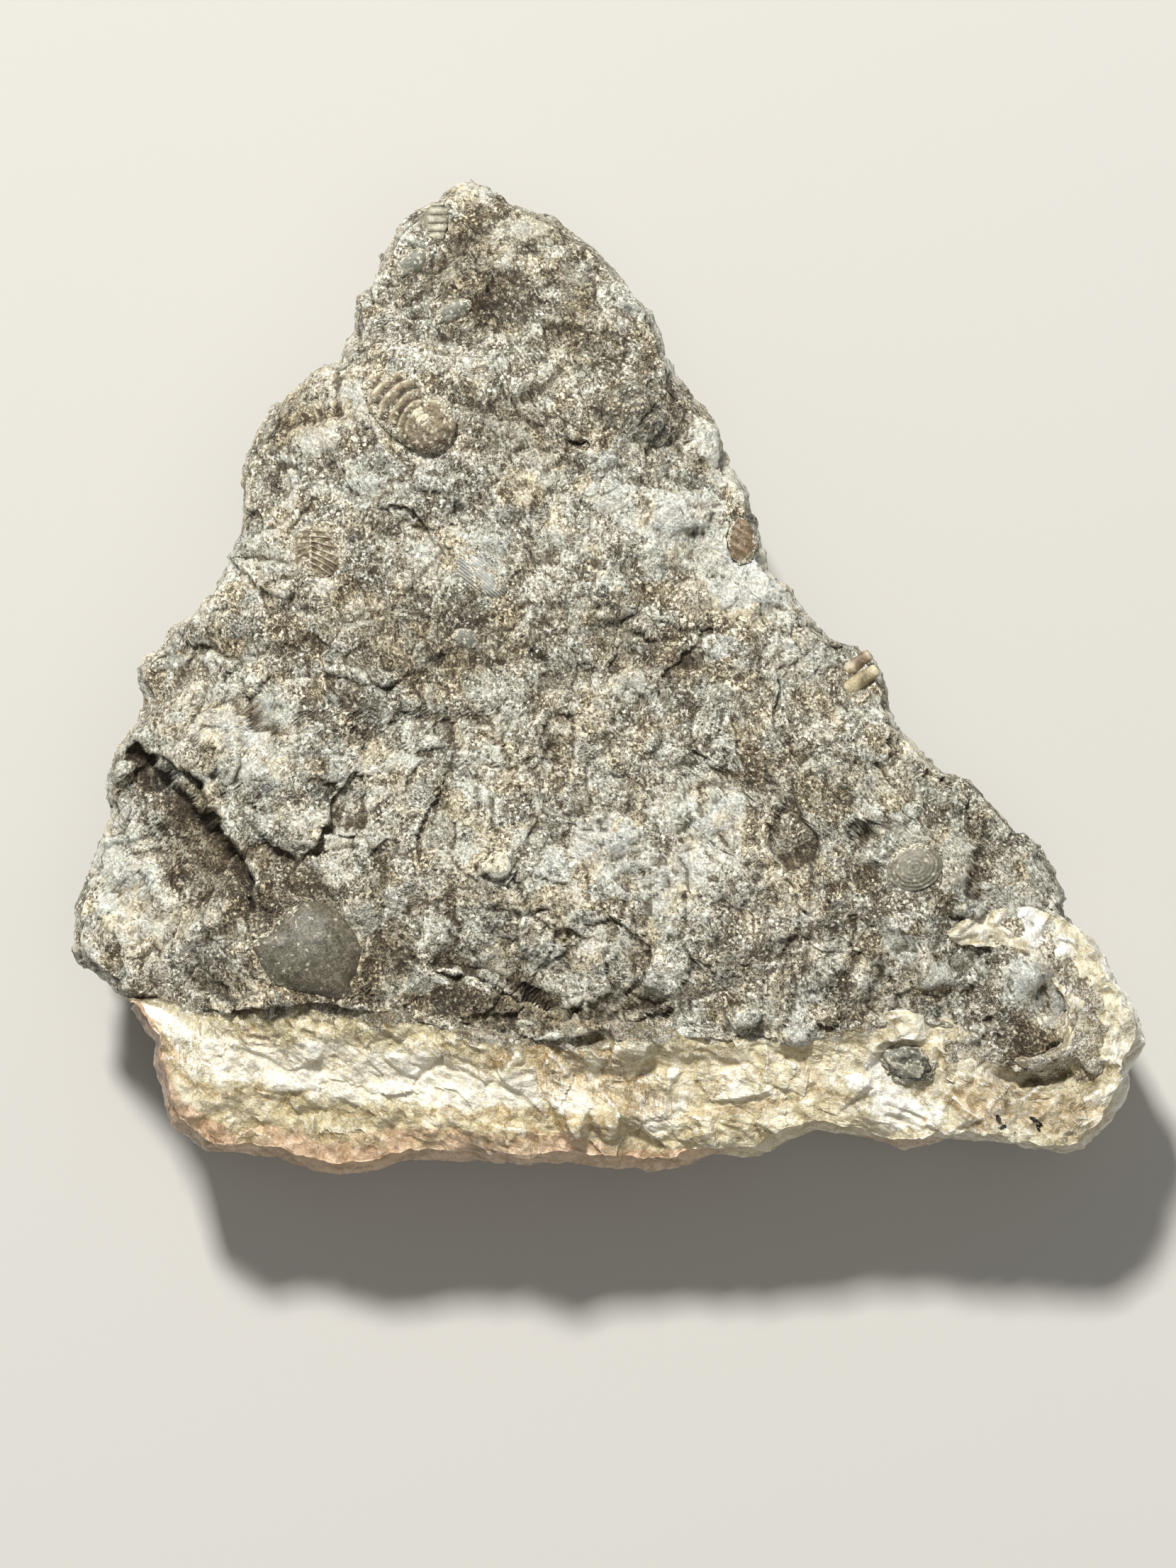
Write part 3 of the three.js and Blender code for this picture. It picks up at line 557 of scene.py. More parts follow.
def lime_points():
    """All points of the limestone: face grid, wall rows and back grid, in one array."""
    ring, edge = sheet_over(lime_outline, LIME_CELLS)
    spoke = edge - CORE
    reach = np.linalg.norm(spoke, axis=-1)
    buried = is_buried(edge)
    inset = BROW_INSET * (1 - buried)
    plan = CORE + spoke * (ring * (1 - inset / reach))[..., None]
    x, y = plan[..., 0], plan[..., 1]
    top = seat_the_fossils(x, y, limestone_top(x, y, 0.7))
    face_points = np.dstack([x, y, top]).reshape(-1, 3)
    rim_spoke, rim_reach, rim_buried = (rim_of(a) for a in (spoke, reach, buried))
    rim_edge, rim_top = rim_of(edge), rim_of(top)
    foot_lift = back_height(rim_edge[:, 0], rim_edge[:, 1], np.ones(len(rim_edge)))
    rows = []
    for level in 1 - np.arange(1, LIME_ROWS + 1) / LIME_ROWS:
        inset = wall_inset(rim_edge, level, rim_buried)
        flat = CORE + rim_spoke * (1 - inset / rim_reach)[:, None]
        rows.append(np.column_stack([flat, mix(foot_lift, rim_top, level)]))
    ring, edge = sheet_over(lime_outline, LIME_CELLS // BACK_RATIO)
    spoke = edge - CORE
    inset = wall_inset(edge, 0 * ring, is_buried(edge)) + 0.8
    flat = CORE + spoke * (ring * (1 - inset / np.linalg.norm(spoke, axis=-1)))[..., None]
    back = back_height(flat[..., 0], flat[..., 1], ring)
    back_points = np.dstack([flat, back]).reshape(-1, 3)
    return np.vstack([face_points, *rows, back_points])


lime = lime_points()
lime_face, lime_back, lime_faces = close_block(LIME_CELLS, LIME_ROWS, BACK_RATIO)
print("limestone points:", len(lime), "triangles:", sum(len(f) * (f.shape[1] - 2) for f in lime_faces))


# %% [markdown]
# ## What the limestone's face is made of
#
# Seen close, the stone is a heap of broken shells in a grainy paste. Each cell of a scattered lattice
# may hold one fragment: a low, smooth lens with its own turn, bend and tone. Two lattices, one of
# large fragments and one of small, fill the face. On top come the marks that this specimen has in
# known places: pale bruises, glassy grey shells and brown patches. Each is a soft ellipse whose edge
# is torn by noise.

# %% Scattered shell fragments
def scattered_fragments(x, y, width, seed, chance):
    """Height, cover and tone of the lens that each cell holds: 1 - e^2 inside its bent ellipse."""
    i, j = np.floor(x / width), np.floor(y / width)
    height, cover, tone = np.zeros_like(x), np.zeros_like(x), np.zeros_like(x)
    for a, b in itertools.product((-1, 0, 1), repeat=2):
        p, q = i + a, j + b
        r = [mixed_bits(p, q, seed + n) for n in range(8)]
        dx = x - (p + 0.5 + 0.45 * r[0]) * width
        dy = y - (q + 0.5 + 0.45 * r[1]) * width
        turn = 1.2 + 1.5 * r[2]
        along = dx * np.cos(turn) + dy * np.sin(turn)
        across = dy * np.cos(turn) - dx * np.sin(turn)
        length = width * (0.42 + 0.16 * r[3])
        across = across - 0.5 * r[4] * along ** 2 / length
        e = np.hypot(along / length, across / (length * (0.42 + 0.2 * r[5])))
        here = (1 - smoothstep(e, 0.86, 1)) * (r[6] < 2 * chance - 1)
        height = np.where(here > cover, here * (0.45 + 0.55 * (1 - e ** 2)), height)
        tone = np.where(here > cover, r[7], tone)
        cover = np.maximum(cover, here)
    return height, cover, tone


def soft_patches(x, y, patches, seed, torn=0.45):
    """The strongest of several ellipses (middle, half widths, turn, strength), edges torn by noise."""
    ragged = torn * (ruggedness(x, y, 3.2, seed) + 0.5 * ruggedness(x, y, 1.1, seed + 5))
    total = np.zeros_like(x)
    for cx, cy, rx, ry, turn, strength in patches:
        along, across = turned(x - cx, y - cy, turn)
        e = np.hypot(along / rx, across / ry)
        total = np.maximum(total, strength * (1 - smoothstep(e + ragged, 0.55, 1.15)))
    return total


BRUISES = [
    (-43, -6, 4.5, 3, 20, 0.9), (-0.6, -18.4, 3.6, 2.8, 0, 1), (11.9, -15.9, 3, 2.6, 0, 1),
    (7, -22, 4, 2.4, 20, 0.7), (-35.7, 20.5, 1.4, 2.8, 0, 0.9), (-32.5, 26.5, 3.2, 2.4, 0, 0.7),
    (11.5, 25.5, 1.8, 4, 25, 0.6), (8.5, 17.5, 4.5, 3.2, 0, 0.8), (15.5, 11.5, 4.5, 5, 40, 0.7),
    (-31.6, 9.8, 1.3, 1, 0, 0.8), (-9.6, 50, 1.6, 1.6, 0, 0.7), (-45.4, 2.2, 1.3, 1, 0, 0.7),
    (-0.5, 20, 4, 1.8, 0, 0.6), (46.6, -33, 2.6, 2.6, 0, 0.9), (-46, -19.5, 4, 5, 60, 0.15),
    (-54, -25, 4, 7, 15, 0.55), (-29.9, -20, 1.6, 3, 0, 0.5), (34, -7, 2, 5, 30, 0.45),
    (4, -0.5, 3, 2, 0, 0.45), (-28, 31, 2.6, 1.8, 0, 0.6), (-24, -9, 4, 2, 10, 0.45),
    (-8, 22, 3, 1.6, 20, 0.35), (20, 2, 3, 2, 30, 0.5), (-15.5, 54.8, 2.5, 1.6, 0, 0.5),
    (22.5, -31, 1.4, 2.4, 0, 0.5), (39, -20, 2, 4, 30, 0.4), (49.6, -36, 2.8, 2.4, 0, 1),
    (10, -19, 4, 3, 30, 0.6), (2, -30, 5, 2, 10, 0.35),
]
GLASSY = [
    (3, 29.3, 4.6, 3.4, -10, 0.9), (-22.1, 46.4, 3, 2, 38, 0.7), (-14.5, 11.2, 3, 2, -38, 0.5),
    (0.5, 8.8, 2.6, 2.2, 0, 0.75), (-36, -13, 5, 2.4, -15, 0.7), (-50, -11.5, 2.2, 2.4, 0, 0.6),
    (12, 23, 2, 3, 10, 0.5), (-30, 21, 1.8, 2.4, 0, 0.5), (4, -0.5, 1.8, 1.4, 0, 0.5),
    (-17.3, 18.8, 1.8, 1.3, 0, 0.8), (-42, 5.8, 1.8, 1.6, 0, 0.5), (9.5, 21, 2.6, 2, 0, 0.6),
    (14.8, -38.2, 1.6, 1.4, 0, 0.6), (-13, -21.3, 1.7, 1.7, 0, 0.6), (39.6, -26, 2.2, 1.8, 0, 0.5),
    (-46, -38, 6, 1.5, 0, 0.4), (22, -11, 3, 2.2, 0, 0.4), (-5, 45, 3, 2, 0, 0.35), (-24, 0, 3, 2, 0, 0.35),
    (26, -22, 2.4, 3, 30, 0.35), (-27, -4.5, 3, 1.6, 20, 0.3),
]
BROWNS = [
    (-48, -20, 4.6, 4.2, 0, 0.6), (-13, 14.5, 2.8, 1.6, 0, 0.8), (-7, 14.8, 1.6, 2, 0, 0.5),
    (-6, 9.2, 0.8, 2.4, -15, 0.9), (-0.8, 16, 0.7, 2, 0, 0.9), (28, 0.5, 4, 3, 30, 0.7),
    (-7.5, -25.7, 1.9, 2, 0, 0.7), (-10.3, -33, 1.9, 1.5, 0, 0.9), (47.6, -22.4, 1.6, 0.6, 0, 0.9),
    (-30, 33, 3, 1.6, 0, 0.4), (15, 16.5, 2, 3.5, 0, 0.6), (-12, 38, 4, 3, 0, 0.35), (5, -8, 5, 3, 0, 0.35),
    (20, -18, 5, 4, 0, 0.35), (-20, -26, 6, 4, 0, 0.4), (-38, -35, 4, 1.5, 0, 0.4),
    (45, -38, 7, 3, -20, 0.4), (0, 36, 4, 3, 0, 0.3),
]
PALE_ZONES = [
    (-39, -8, 7, 5, -25, 0.7), (8, -19, 9, 7, 10, 0.7), (16, 9.5, 6, 5, -40, 0.6),
    (5, 19, 6.5, 4.5, 0, 0.4), (-15, 13, 4.5, 4, -35, 0.7), (-55.5, -21, 4, 10, 5, 0.55),
    (-30, 33, 4, 3, 0, 0.3), (-15, -22, 10, 10, 30, 0.35), (46.3, -32.5, 4, 4, 0, 1),
    (50, -37, 3.5, 3, 0, 0.7), (-20, 55, 5, 2.5, 0, 0.35), (-12, 37, 5, 3, 20, 0.4),
    (-32, 22, 4, 4, 0, 0.35), (-11, 50.5, 3, 2.5, 0, 0.2), (50, -36.6, 3.6, 3.4, 0, 1.2),
]
# Dark zones are partly darker stone and partly painted shadow below ledges and under the overhang of the
# right block.
DARK_ZONES_AND_SHADOWS = [
    (-45, -19, 5, 7, 30, 0.75), (-33, -29, 12, 7, -15, 0.7), (-12, -37.2, 11, 2.6, -12, 1),
    (-19, 3, 13, 6, -10, 0.5), (-14, 43.5, 7, 5, -30, 0.75), (-3, 40, 4.5, 7, 25, 0.6),
    (23, -13, 7, 10, 10, 0.3), (38, -19, 9, 7, -40, 0.2), (47.5, -42.3, 7, 2.4, -5, 1.4),
    (4, 3, 7, 4, -20, 0.3), (-12, 28, 6, 3, -30, 0.5), (28, -34, 9, 6, 0, 0.25), (4, 29.3, 6, 4, 0, 0.4),
    (-53, -10, 3, 4, 0, 0.6), (-36, 29, 4, 4, 0, 0.5), (-9.5, 50, 5, 4, 0, 0.5), (-38, -31, 6, 6, 0, 0.2),
    (-42, -34, 8, 2.5, 0, 0.4), (4, -36.5, 8, 2, 0, 0.5),
]


def face_marks(x, y):
    """What each point knows: bruised, glassy, brown, shell, and pale or dark zone, the dark ones partly
    painted shadow.
    """
    large = scattered_fragments(x, y, 5.6, 200, 0.42)
    small = scattered_fragments(x, y, 2.5, 300, 0.5)
    bigger = large[1] >= small[1]
    marks = {
        "bruise": soft_patches(x, y, BRUISES, 400),
        "glassy": soft_patches(x, y, GLASSY, 420, 0.3),
        "brown": soft_patches(x, y, BROWNS, 440),
        "tone_and_shade_zone": 0.5 + 0.5 * soft_patches(x, y, PALE_ZONES, 450) - 0.5 * soft_patches(x, y, DARK_ZONES_AND_SHADOWS, 460),
        "shell": np.maximum(large[1], small[1]),
        "tone": np.where(bigger, large[2], small[2]),
    }
    return marks, np.where(bigger, 0.42 * large[0], 0.2 * small[0])


spoke = lime[:, :2] - CORE
below_face = np.clip(limestone_top(lime[:, 0], lime[:, 1]) - lime[:, 2] - 2, 0, 30)[:, None]
unrolled = lime[:, :2] + spoke / np.maximum(np.linalg.norm(spoke, axis=1, keepdims=True), 1) * below_face
unrolled[:lime_face.size] = lime[:lime_face.size, :2]
marks, shell_height = face_marks(*unrolled.T)
print("share of the face under shells:", round(float((marks["shell"] > 0.5).mean()), 2))


# %% [markdown]
# The roughness itself is pushed out along the normals, so that walls and face break alike. Slabs,
# chips, crumbs and grains are four sizes of broken faces. Noise pushes their borders about first,
# because straight borders would look like cut glass. Cracks are narrow trenches along drawn lines.

# %% Broken faces and cracks
def warped(points, width, reach, seed):
    """The points, each pushed by up to reach along three noises of the given width."""
    push = np.stack([noise_3d(points, width, seed + 40 * n) for n in range(3)], 1)
    return points + reach * push


# middle, half widths, turn, height
KNOBS = [
    (3, 29.2, 4.9, 3.7, -10, 1.5), (10.7, 26.3, 1.7, 3.3, 20, 0.8), (7.7, 18.9, 4.3, 2.8, 0, 1.2),
    (15.9, 11.2, 3.9, 4.3, 20, 1.1), (0.5, 8.7, 2.8, 2.8, 0, 1.2), (-12.9, 14.5, 3.2, 1.7, 0, 0.5),
    (-12.4, -21.3, 1.6, 1.6, 0, 1), (39.6, -26, 2, 1.9, 0, 0.9), (14.7, -38.1, 1.4, 1.4, 0, 1),
    (-14, 12, 3.4, 2, -35, 0.5), (33.8, -21.2, 3.3, 2.8, 0, 0.7), (24, -31.5, 2.2, 3, -20, 0.9),
    (28.5, -34.5, 2.4, 2.6, 0, 0.9), (36, -33.5, 2.4, 2.2, 0, 0.9), (47, -32.5, 3, 3.2, 0, 0.8),
    (-37, 9.6, 1.5, 1.3, 0, 0.9), (-42, 5.8, 2, 1.7, 0, 0.6), (-43.5, -6, 3.4, 2.6, 30, 0.9),
    (-33, 26.2, 3, 2, 0, 0.7), (3.4, -0.3, 2, 1.7, 0, 0.8), (19, -12, 2.6, 2, 20, 0.6),
    (-4.5, -30, 4.5, 3.4, 0, 1), (4, -33, 4.4, 3, 0, 0.9), (-16, -13, 3, 2.2, 0, 0.5),
    (12, -8, 3, 2, 40, 0.5), (-24, 3, 2.6, 2, 0, 0.5), (27, -12, 2.4, 2, 0, 0.6), (-1, 41, 3, 2, 0, 0.5),
    (-22, 46.8, 2.6, 2.8, 0, 0.7), (21, 3.4, 2.4, 1.8, 30, 0.6),
]
# depth, half width, line
CRACKS = [
    (1.6, 0.35, [(-10.7, 31.7), (-10.1, 30), (-8.5, 28.2), (-6.4, 28.5), (-5.1, 26.9), (-2, 25.8)]),
    (0.9, 0.25, [(-17, 47.6), (-14.5, 46.5)]), (0.9, 0.25, [(-15.5, 45.6), (-13.2, 43.4)]),
    (1, 0.3, [(-11.2, 44.3), (-9.5, 43)]),
    (1.5, 0.4, [(-21, -32.3), (-18.4, -33.6), (-14.8, -33.6), (-12, -34.8), (-9.1, -35.6), (-6.2, -37.6),
                (-3, -38), (2.8, -39)]),
    (1.5, 0.4, [(1.3, -38.5), (4.7, -37.9), (8.9, -36.4)]),
    (0.9, 0.25, [(26.8, -27.2), (30, -27.8), (32.7, -29.1)]),
    (2.2, 0.6, [(-53.7, -7.6), (-49.4, -10.7), (-45.6, -13.8), (-44.4, -16.8), (-41.3, -20.6),
                (-40.4, -24.4), (-40, -26.8)]),
    (1, 0.3, [(25.8, -2), (26.8, -4.8)]), (1.2, 0.35, [(-33.2, -17.2), (-27.6, -17.5)]),
    (1.4, 0.4, [(-42, -26.2), (-40.7, -27.4), (-39.8, -29.6), (-37.7, -33.6)]),
    (0.5, 0.25, [(21.9, -26.6), (19, -31), (16.8, -35.8)]),
    (0.7, 0.25, [(30, -9.5), (31.6, -11.5), (34.6, -15.5)]),
    (0.8, 0.25, [(-24, 17.5), (-20, 16), (-17, 17)]), (0.8, 0.3, [(2, 5), (5, 3.6), (8, 4.5)]),
    (0.8, 0.3, [(-14, -25.5), (-10, -26.8), (-6, -25.8)]), (0.7, 0.25, [(-30, 1), (-25, -1), (-20, 0)]),
]


def crack_depth(x, y):
    """How deep the cracks cut: a bell across each line, thinning towards its ends."""
    wander = 0.7 * ruggedness(x, y, 2, 470), 0.7 * ruggedness(x, y, 2, 475)
    broken = 0.65 + 0.45 * ruggedness(x, y, 1.6, 478)
    total = np.zeros_like(x)
    for depth, half, line in CRACKS:
        distance, _, along = beside_line(x + wander[0], y + wander[1], line)
        ends = smoothstep(along, 0, 0.15) * (1 - smoothstep(along, 0.85, 1))
        total = np.maximum(total, depth * broken * (0.3 + 0.7 * ends) * np.exp(-(distance / half) ** 2))
    return total


def knob_height(x, y):
    """Rounded knobs: a half ellipsoid over each warped ellipse."""
    bent_x, bent_y = x + 0.9 * ruggedness(x, y, 2.6, 480), y + 0.9 * ruggedness(x, y, 2.6, 485)
    chipped = 0.85 + 0.35 * facets(x, y, 2.6, 33, 488)
    total = np.zeros_like(x)
    for cx, cy, rx, ry, turn, height in KNOBS:
        along, across = turned(bent_x - cx, bent_y - cy, turn)
        e = (along / rx) ** 2 + (across / ry) ** 2
        total = np.maximum(total, height * chipped * np.clip(1 - e, 0, None) ** 0.6)
    return total


def away_from_fossils(x, y):
    """0 on the fossils' seats, 1 a little beyond them."""
    clear = np.ones_like(x)
    for at, _, _, outline in CARVED.values():
        ring = outline_ring(x - at[0], y - at[1], outline)
        clear *= smoothstep(ring, 1, 1.35)
    for at, size, _ in NUGGETS.values():
        clear *= smoothstep(np.hypot(x - at[0], y - at[1]) / size[0], 0.9, 1.5)
    return clear


def edge_and_hollow(points, faces, normals, rounds=10):
    """How far each point stands out of its neighbours' mean, close by and after some smoothing."""
    smooth, found = points.copy(), []
    for n in range(rounds):
        total, count = np.zeros_like(points), np.zeros(len(points))
        for group in faces:
            middle = smooth[group].mean(axis=1)
            for corner in group.T:
                count += np.bincount(corner, minlength=len(points))
                for axis in range(3):
                    total[:, axis] += np.bincount(corner, middle[:, axis], len(points))
        smooth = total / count[:, None]
        if n in (0, rounds - 1):
            found.append(((points - smooth) * normals).sum(1))
    return found


# %% Roughness of the limestone
GLASSY_TIP = (-20.5, 56)            # round it the stone is smoother
normals = outward_normals(lime, lime_faces)
on_face = np.zeros(len(lime))
on_face[:lime_face.size] = 1
clear = np.where(on_face > 0, away_from_fossils(lime[:, 0], lime[:, 1]), 1)
from_tip = np.hypot(lime[:, 0] - GLASSY_TIP[0], lime[:, 1] - GLASSY_TIP[1])
clear *= 0.35 + 0.65 * smoothstep(from_tip, 4, 11)
slabs = broken_3d(warped(lime, 6, 2.6, 480), 10, 490, 2.0, 0.4)
chips = broken_3d(warped(lime, 2.8, 1.2, 500), 4.4, 510, 2.0, 0.5)
crumbs = broken_3d(warped(lime, 1.3, 0.5, 520), 1.9, 530, 1.6)
grains = broken_3d(lime, 0.9, 540)
pitted = smoothstep(noise_3d(lime, 1.5, 560) + 0.5 * noise_3d(lime, 6, 561), 0.55, 0.9)
smoothness = np.clip(np.maximum(0.7 * marks["shell"], marks["glassy"]), 0, 1) * on_face
rough = (0.42 * slabs + 0.3 * chips) * (0.1 + 0.9 * clear) * (0.65 + 0.35 * on_face)
rough += (0.11 * crumbs + 0.06 * grains) * (1 - 0.7 * smoothness)
rough -= 0.2 * pitted * (1 - 0.8 * smoothness) * clear
rough += (0.8 * shell_height + knob_height(lime[:, 0], lime[:, 1])) * on_face * clear
rough -= crack_depth(lime[:, 0], lime[:, 1]) * on_face * clear

resting = np.arange(len(lime)) >= lime_back.min()
rough = np.where(resting, -np.abs(rough) * 0.6, rough)
lime_fine = lime + normals * rough[:, None]
lime_fine[:, 2] = np.maximum(lime_fine[:, 2], 0)
edge, hollow = edge_and_hollow(lime_fine, lime_faces, outward_normals(lime_fine, lime_faces))
# edge and relief are kept so that the finish can paint shade into the face's creases and hollows
marks["edge"] = np.clip(0.5 + 4 * edge, 0, 1)
marks["relief"] = np.clip(0.5 + 0.9 * hollow, 0, 1)
print("roughness from", round(float(rough.min()), 2), "to", round(float(rough.max()), 2), "mm")
print("edges stand out by", np.round(np.percentile(edge, [5, 95]), 3), "mm")

limestone = stone_mesh("limestone_rock", lime_fine, lime_faces, marks)
stand_in(limestone, "limestone_matrix")


# %% [markdown]
# ## The calcite vein
#
# The vein is a long bar with a broken crystal surface. A profile carried along a path suits it: at
# each station along the vein one closed loop goes across the top from the contact to the outer edge,
# down the wall, along the back and up inside the limestone. The pairs of points that guide the path
# follow the contact and the outer edge, and turn with them round the right end.

# %% Guide lines of the vein
# point on the contact side, point on the outer edge
VEIN_GUIDES = [
    ((-54, -36.2), (-54.1, -37.2)), ((-52.6, -36), (-52.6, -39.4)), ((-50.8, -35.8), (-51.3, -41.2)),
    ((-49.2, -35.8), (-51.5, -43.6)), ((-47.4, -36.2), (-50.7, -45.6)), ((-45.6, -36.6), (-50.2, -48.6)),
    ((-43.4, -36.4), (-49.4, -50.6)), ((-41, -36), (-47.5, -51.9)), ((-38.6, -35.6), (-45.4, -53.6)),
    ((-36, -35.6), (-41.7, -53.7)), ((-33, -35.4), (-37.3, -54.3)), ((-30.6, -35.6), (-33.6, -55.6)),
    ((-28, -36), (-30.6, -56.1)), ((-25.5, -36.6), (-27.2, -55.7)), ((-21.6, -37.6), (-22.8, -54.5)),
    ((-17, -38.8), (-18, -54.3)), ((-11.4, -40), (-11.4, -54.9)), ((-6, -39.4), (-5.4, -54.8)),
    ((0, -38.3), (0.4, -55.3)), ((5.4, -38.8), (4, -55.6)), ((9, -39.2), (7.8, -55.1)),
    ((13, -39.6), (11.2, -53.9)), ((17, -39.6), (16.8, -53.8)), ((21, -39.4), (19.9, -51.9)),
    ((25, -39.2), (23.7, -50.8)), ((28, -38.4), (27.6, -51.6)), ((32, -37.2), (32.8, -53.1)),
    ((35.2, -37.4), (35.9, -52.8)), ((38.6, -38.2), (38.3, -51.9)), ((42, -40.4), (43.5, -52.2)),
    ((45.6, -42.2), (47.4, -53)), ((48.4, -42.2), (51.4, -53.5)), ((50.2, -41.6), (53.4, -53.2)),
    ((50.8, -41), (55.5, -51.2)), ((51, -40.2), (57.4, -48.6)), ((51.1, -39.4), (58.4, -46.2)),
    ((51.1, -38.6), (58.6, -44.1)), ((51.1, -37.8), (60.4, -41.1)), ((51, -37), (59.6, -38)),
    ((50.7, -36.2), (58.2, -35.8)), ((50.2, -35.4), (57.1, -34.6)), ((49.4, -34.4), (55.9, -31.8)),
    ((48.2, -33.4), (54.4, -29.4)), ((46.6, -32), (51.6, -27.3)), ((44.8, -31), (48.6, -26.3)),
    ((42.6, -30.4), (44.2, -25.9)), ((40.8, -30.2), (42.2, -26.8)), ((39.2, -29.9), (40.2, -28)),
    ((38.1, -29.5), (38.4, -29)),
]
VEIN_STATIONS = 600
VEIN_TOP, VEIN_WALL, VEIN_BACK, VEIN_INSIDE = 76, 34, 18, 20


def carried(points, shares):
    """Points at shares of a line's length, linearly between its guide points."""
    points = np.asarray(points, float)
    return np.stack([np.interp(shares, np.linspace(0, 1, len(points)), points[:, n]) for n in (0, 1)], -1)


guide_middle = np.mean(VEIN_GUIDES, axis=1)
guide_reach = np.concatenate([[0], np.cumsum(np.hypot(*np.diff(guide_middle, axis=0).T) + 0.6)])
guide_shares = np.interp(np.linspace(0, guide_reach[-1], VEIN_STATIONS), guide_reach,
                         np.linspace(0, 1, len(VEIN_GUIDES)))
vein_inner = carried([g[0] for g in VEIN_GUIDES], guide_shares)
vein_outer = carried([g[1] for g in VEIN_GUIDES], guide_shares)
print("vein runs", round(float(guide_reach[-1])), "mm round", len(VEIN_GUIDES), "pairs of guide points")


# %% The vein's coarse form
def vein_points():
    """One closed loop a station: top, wall, back and inner wall, as a grid of stations x loop."""
    spoke = vein_outer - CORE
    reach = np.linalg.norm(spoke, axis=1, keepdims=True)
    rim = CORE + spoke * (1 - BROW_INSET / reach)
    band = smoothstep(vein_outer[:, 1], -40, -33) * (vein_outer[:, 0] > 30)
    across = np.linspace(0, 1, VEIN_TOP)
    top_plan = mix(vein_inner[:, None], rim[:, None], across[None, :, None])
    x, y = top_plan[..., 0], top_plan[..., 1]
    vein_height = calcite_top(x, y)
    lime_height = limestone_top(x, y)
    round_block = 0.5 * smoothstep(vein_inner[:, :1], 43, 49)
    edge_height = lime_height[:, :1] + 0.1 + round_block + 0.7 * ruggedness(x, y, 3, 95)
    reach_in = 0.42 + 0.16 * smooth_noise(x / 4, y / 4, 96)
    vein_height = np.maximum(vein_height, mix(edge_height, vein_height, smoothstep(across, 0.05, reach_in)))
    crust = lime_height - 0.2 + np.sin(np.pi * across)[None, :] + 0.5 * ruggedness(x, y, 2.2, 97)
    top = mix(vein_height, np.maximum(crust, vein_height), band[:, None])
    tucked = smoothstep(across, 0, 0.05)
    top = np.minimum(top, mix(lime_height - 0.35, top, tucked[None, :]))
    rim_top = top[:, -1]
    foot = back_height(vein_outer[:, 0], vein_outer[:, 1], np.ones(VEIN_STATIONS))
    wall = []
    for level in 1 - np.arange(1, VEIN_WALL + 1) / VEIN_WALL:
        inset = wall_inset(vein_outer, level, 0) * (1 - 0.4 * band)
        wall.append(np.column_stack([CORE + spoke * (1 - inset[:, None] / reach),
                                     mix(foot, rim_top, level)]))
    wall = np.stack(wall, 1)
    foot_plan = wall[:, -1, :2]
    back_share = np.arange(1, VEIN_BACK + 1) / VEIN_BACK
    back_plan = mix(foot_plan[:, None], vein_inner[:, None], back_share[None, :, None])
    back_ring = 1 - 0.5 * back_share[None, :] + 0 * back_plan[..., 0]
    back = np.dstack([back_plan, back_height(back_plan[..., 0], back_plan[..., 1], back_ring)])
    climb = np.arange(1, VEIN_INSIDE + 1) / (VEIN_INSIDE + 1)
    inside_plan = np.repeat(vein_inner[:, None], VEIN_INSIDE, 1)
    inside = np.dstack([inside_plan, mix(back[:, -1:, 2], top[:, :1], climb[None, :])])
    return np.concatenate([np.dstack([top_plan, top]), wall, back, inside], 1)


vein_grid = vein_points()
print("vein grid:", vein_grid.shape[:2], "heights", np.round(vein_grid[..., 2].max(), 1))


# %% [markdown]
# Calcite splits along flat faces that slant one way, so scattered cells, which lean all ways, would look
# like gravel. Instead flat triangles are drawn over a leaning lattice, in three sizes: blocks, blades
# and chips, and the higher of two such surfaces is kept, which leaves ridges. A few tabular crystals
# stand out of them. Where the stone clast lies, the surface sinks beneath it.

# %% Crystals of the vein
stations, loop = vein_grid.shape[:2]
vein = vein_grid.reshape(-1, 3)
CLAST = ((33.3, -43.2), (3.6, 2.2), -12)      # middle, half widths, turn
VEIN_PIT = (-2.6, -40.2, 3, 1.3)              # a pit beside the contact, 2.2 mm deep
# split faces turned to this side are painted lighter, and those turned from it darker, as if lit from it
FACET_LIGHT_SIDE = np.array([0.75, -0.35, 0.2])  # the side on which the split faces are bright
on_top = np.tile(np.arange(loop) < VEIN_TOP, stations)
clast_reach = np.hypot((vein[:, 0] - CLAST[0][0]) / CLAST[1][0], (vein[:, 1] - CLAST[0][1]) / CLAST[1][1])
round_clast = on_top & (clast_reach > 1.1) & (clast_reach < 1.6)
clast_level = vein[round_clast, 2].mean() - 0.1
clast_near = np.where(on_top, smoothstep(clast_reach, 0.8, 1.3), 1)
vein = vein.copy()
vein[:, 2] = mix(clast_level - 0.5 + 0 * vein[:, 2], vein[:, 2], clast_near)
vein[:, 2] -= np.where(on_top, 2.2 * lump(vein[:, 0], vein[:, 1], VEIN_PIT), 0)
vein_index = np.arange(len(vein)).reshape(stations, loop)
vein_loop = np.hstack([vein_index, vein_index[:, :1]])
vein_faces = [grid_faces(vein_loop)]


def capped(points, faces, ring, flip):
    """Closes the end of a tube with a fan to the middle of its last ring."""
    middle = points[ring].mean(axis=0, keepdims=True)
    fan = np.stack([ring, np.roll(ring, -1), np.full(len(ring), len(points))], -1)
    return np.vstack([points, middle]), [*faces, fan[:, ::-1] if flip else fan]


vein, vein_faces = capped(vein, vein_faces, vein_index[0], True)
vein, vein_faces = capped(vein, vein_faces, vein_index[-1], False)
vein_normals = outward_normals(vein, vein_faces)

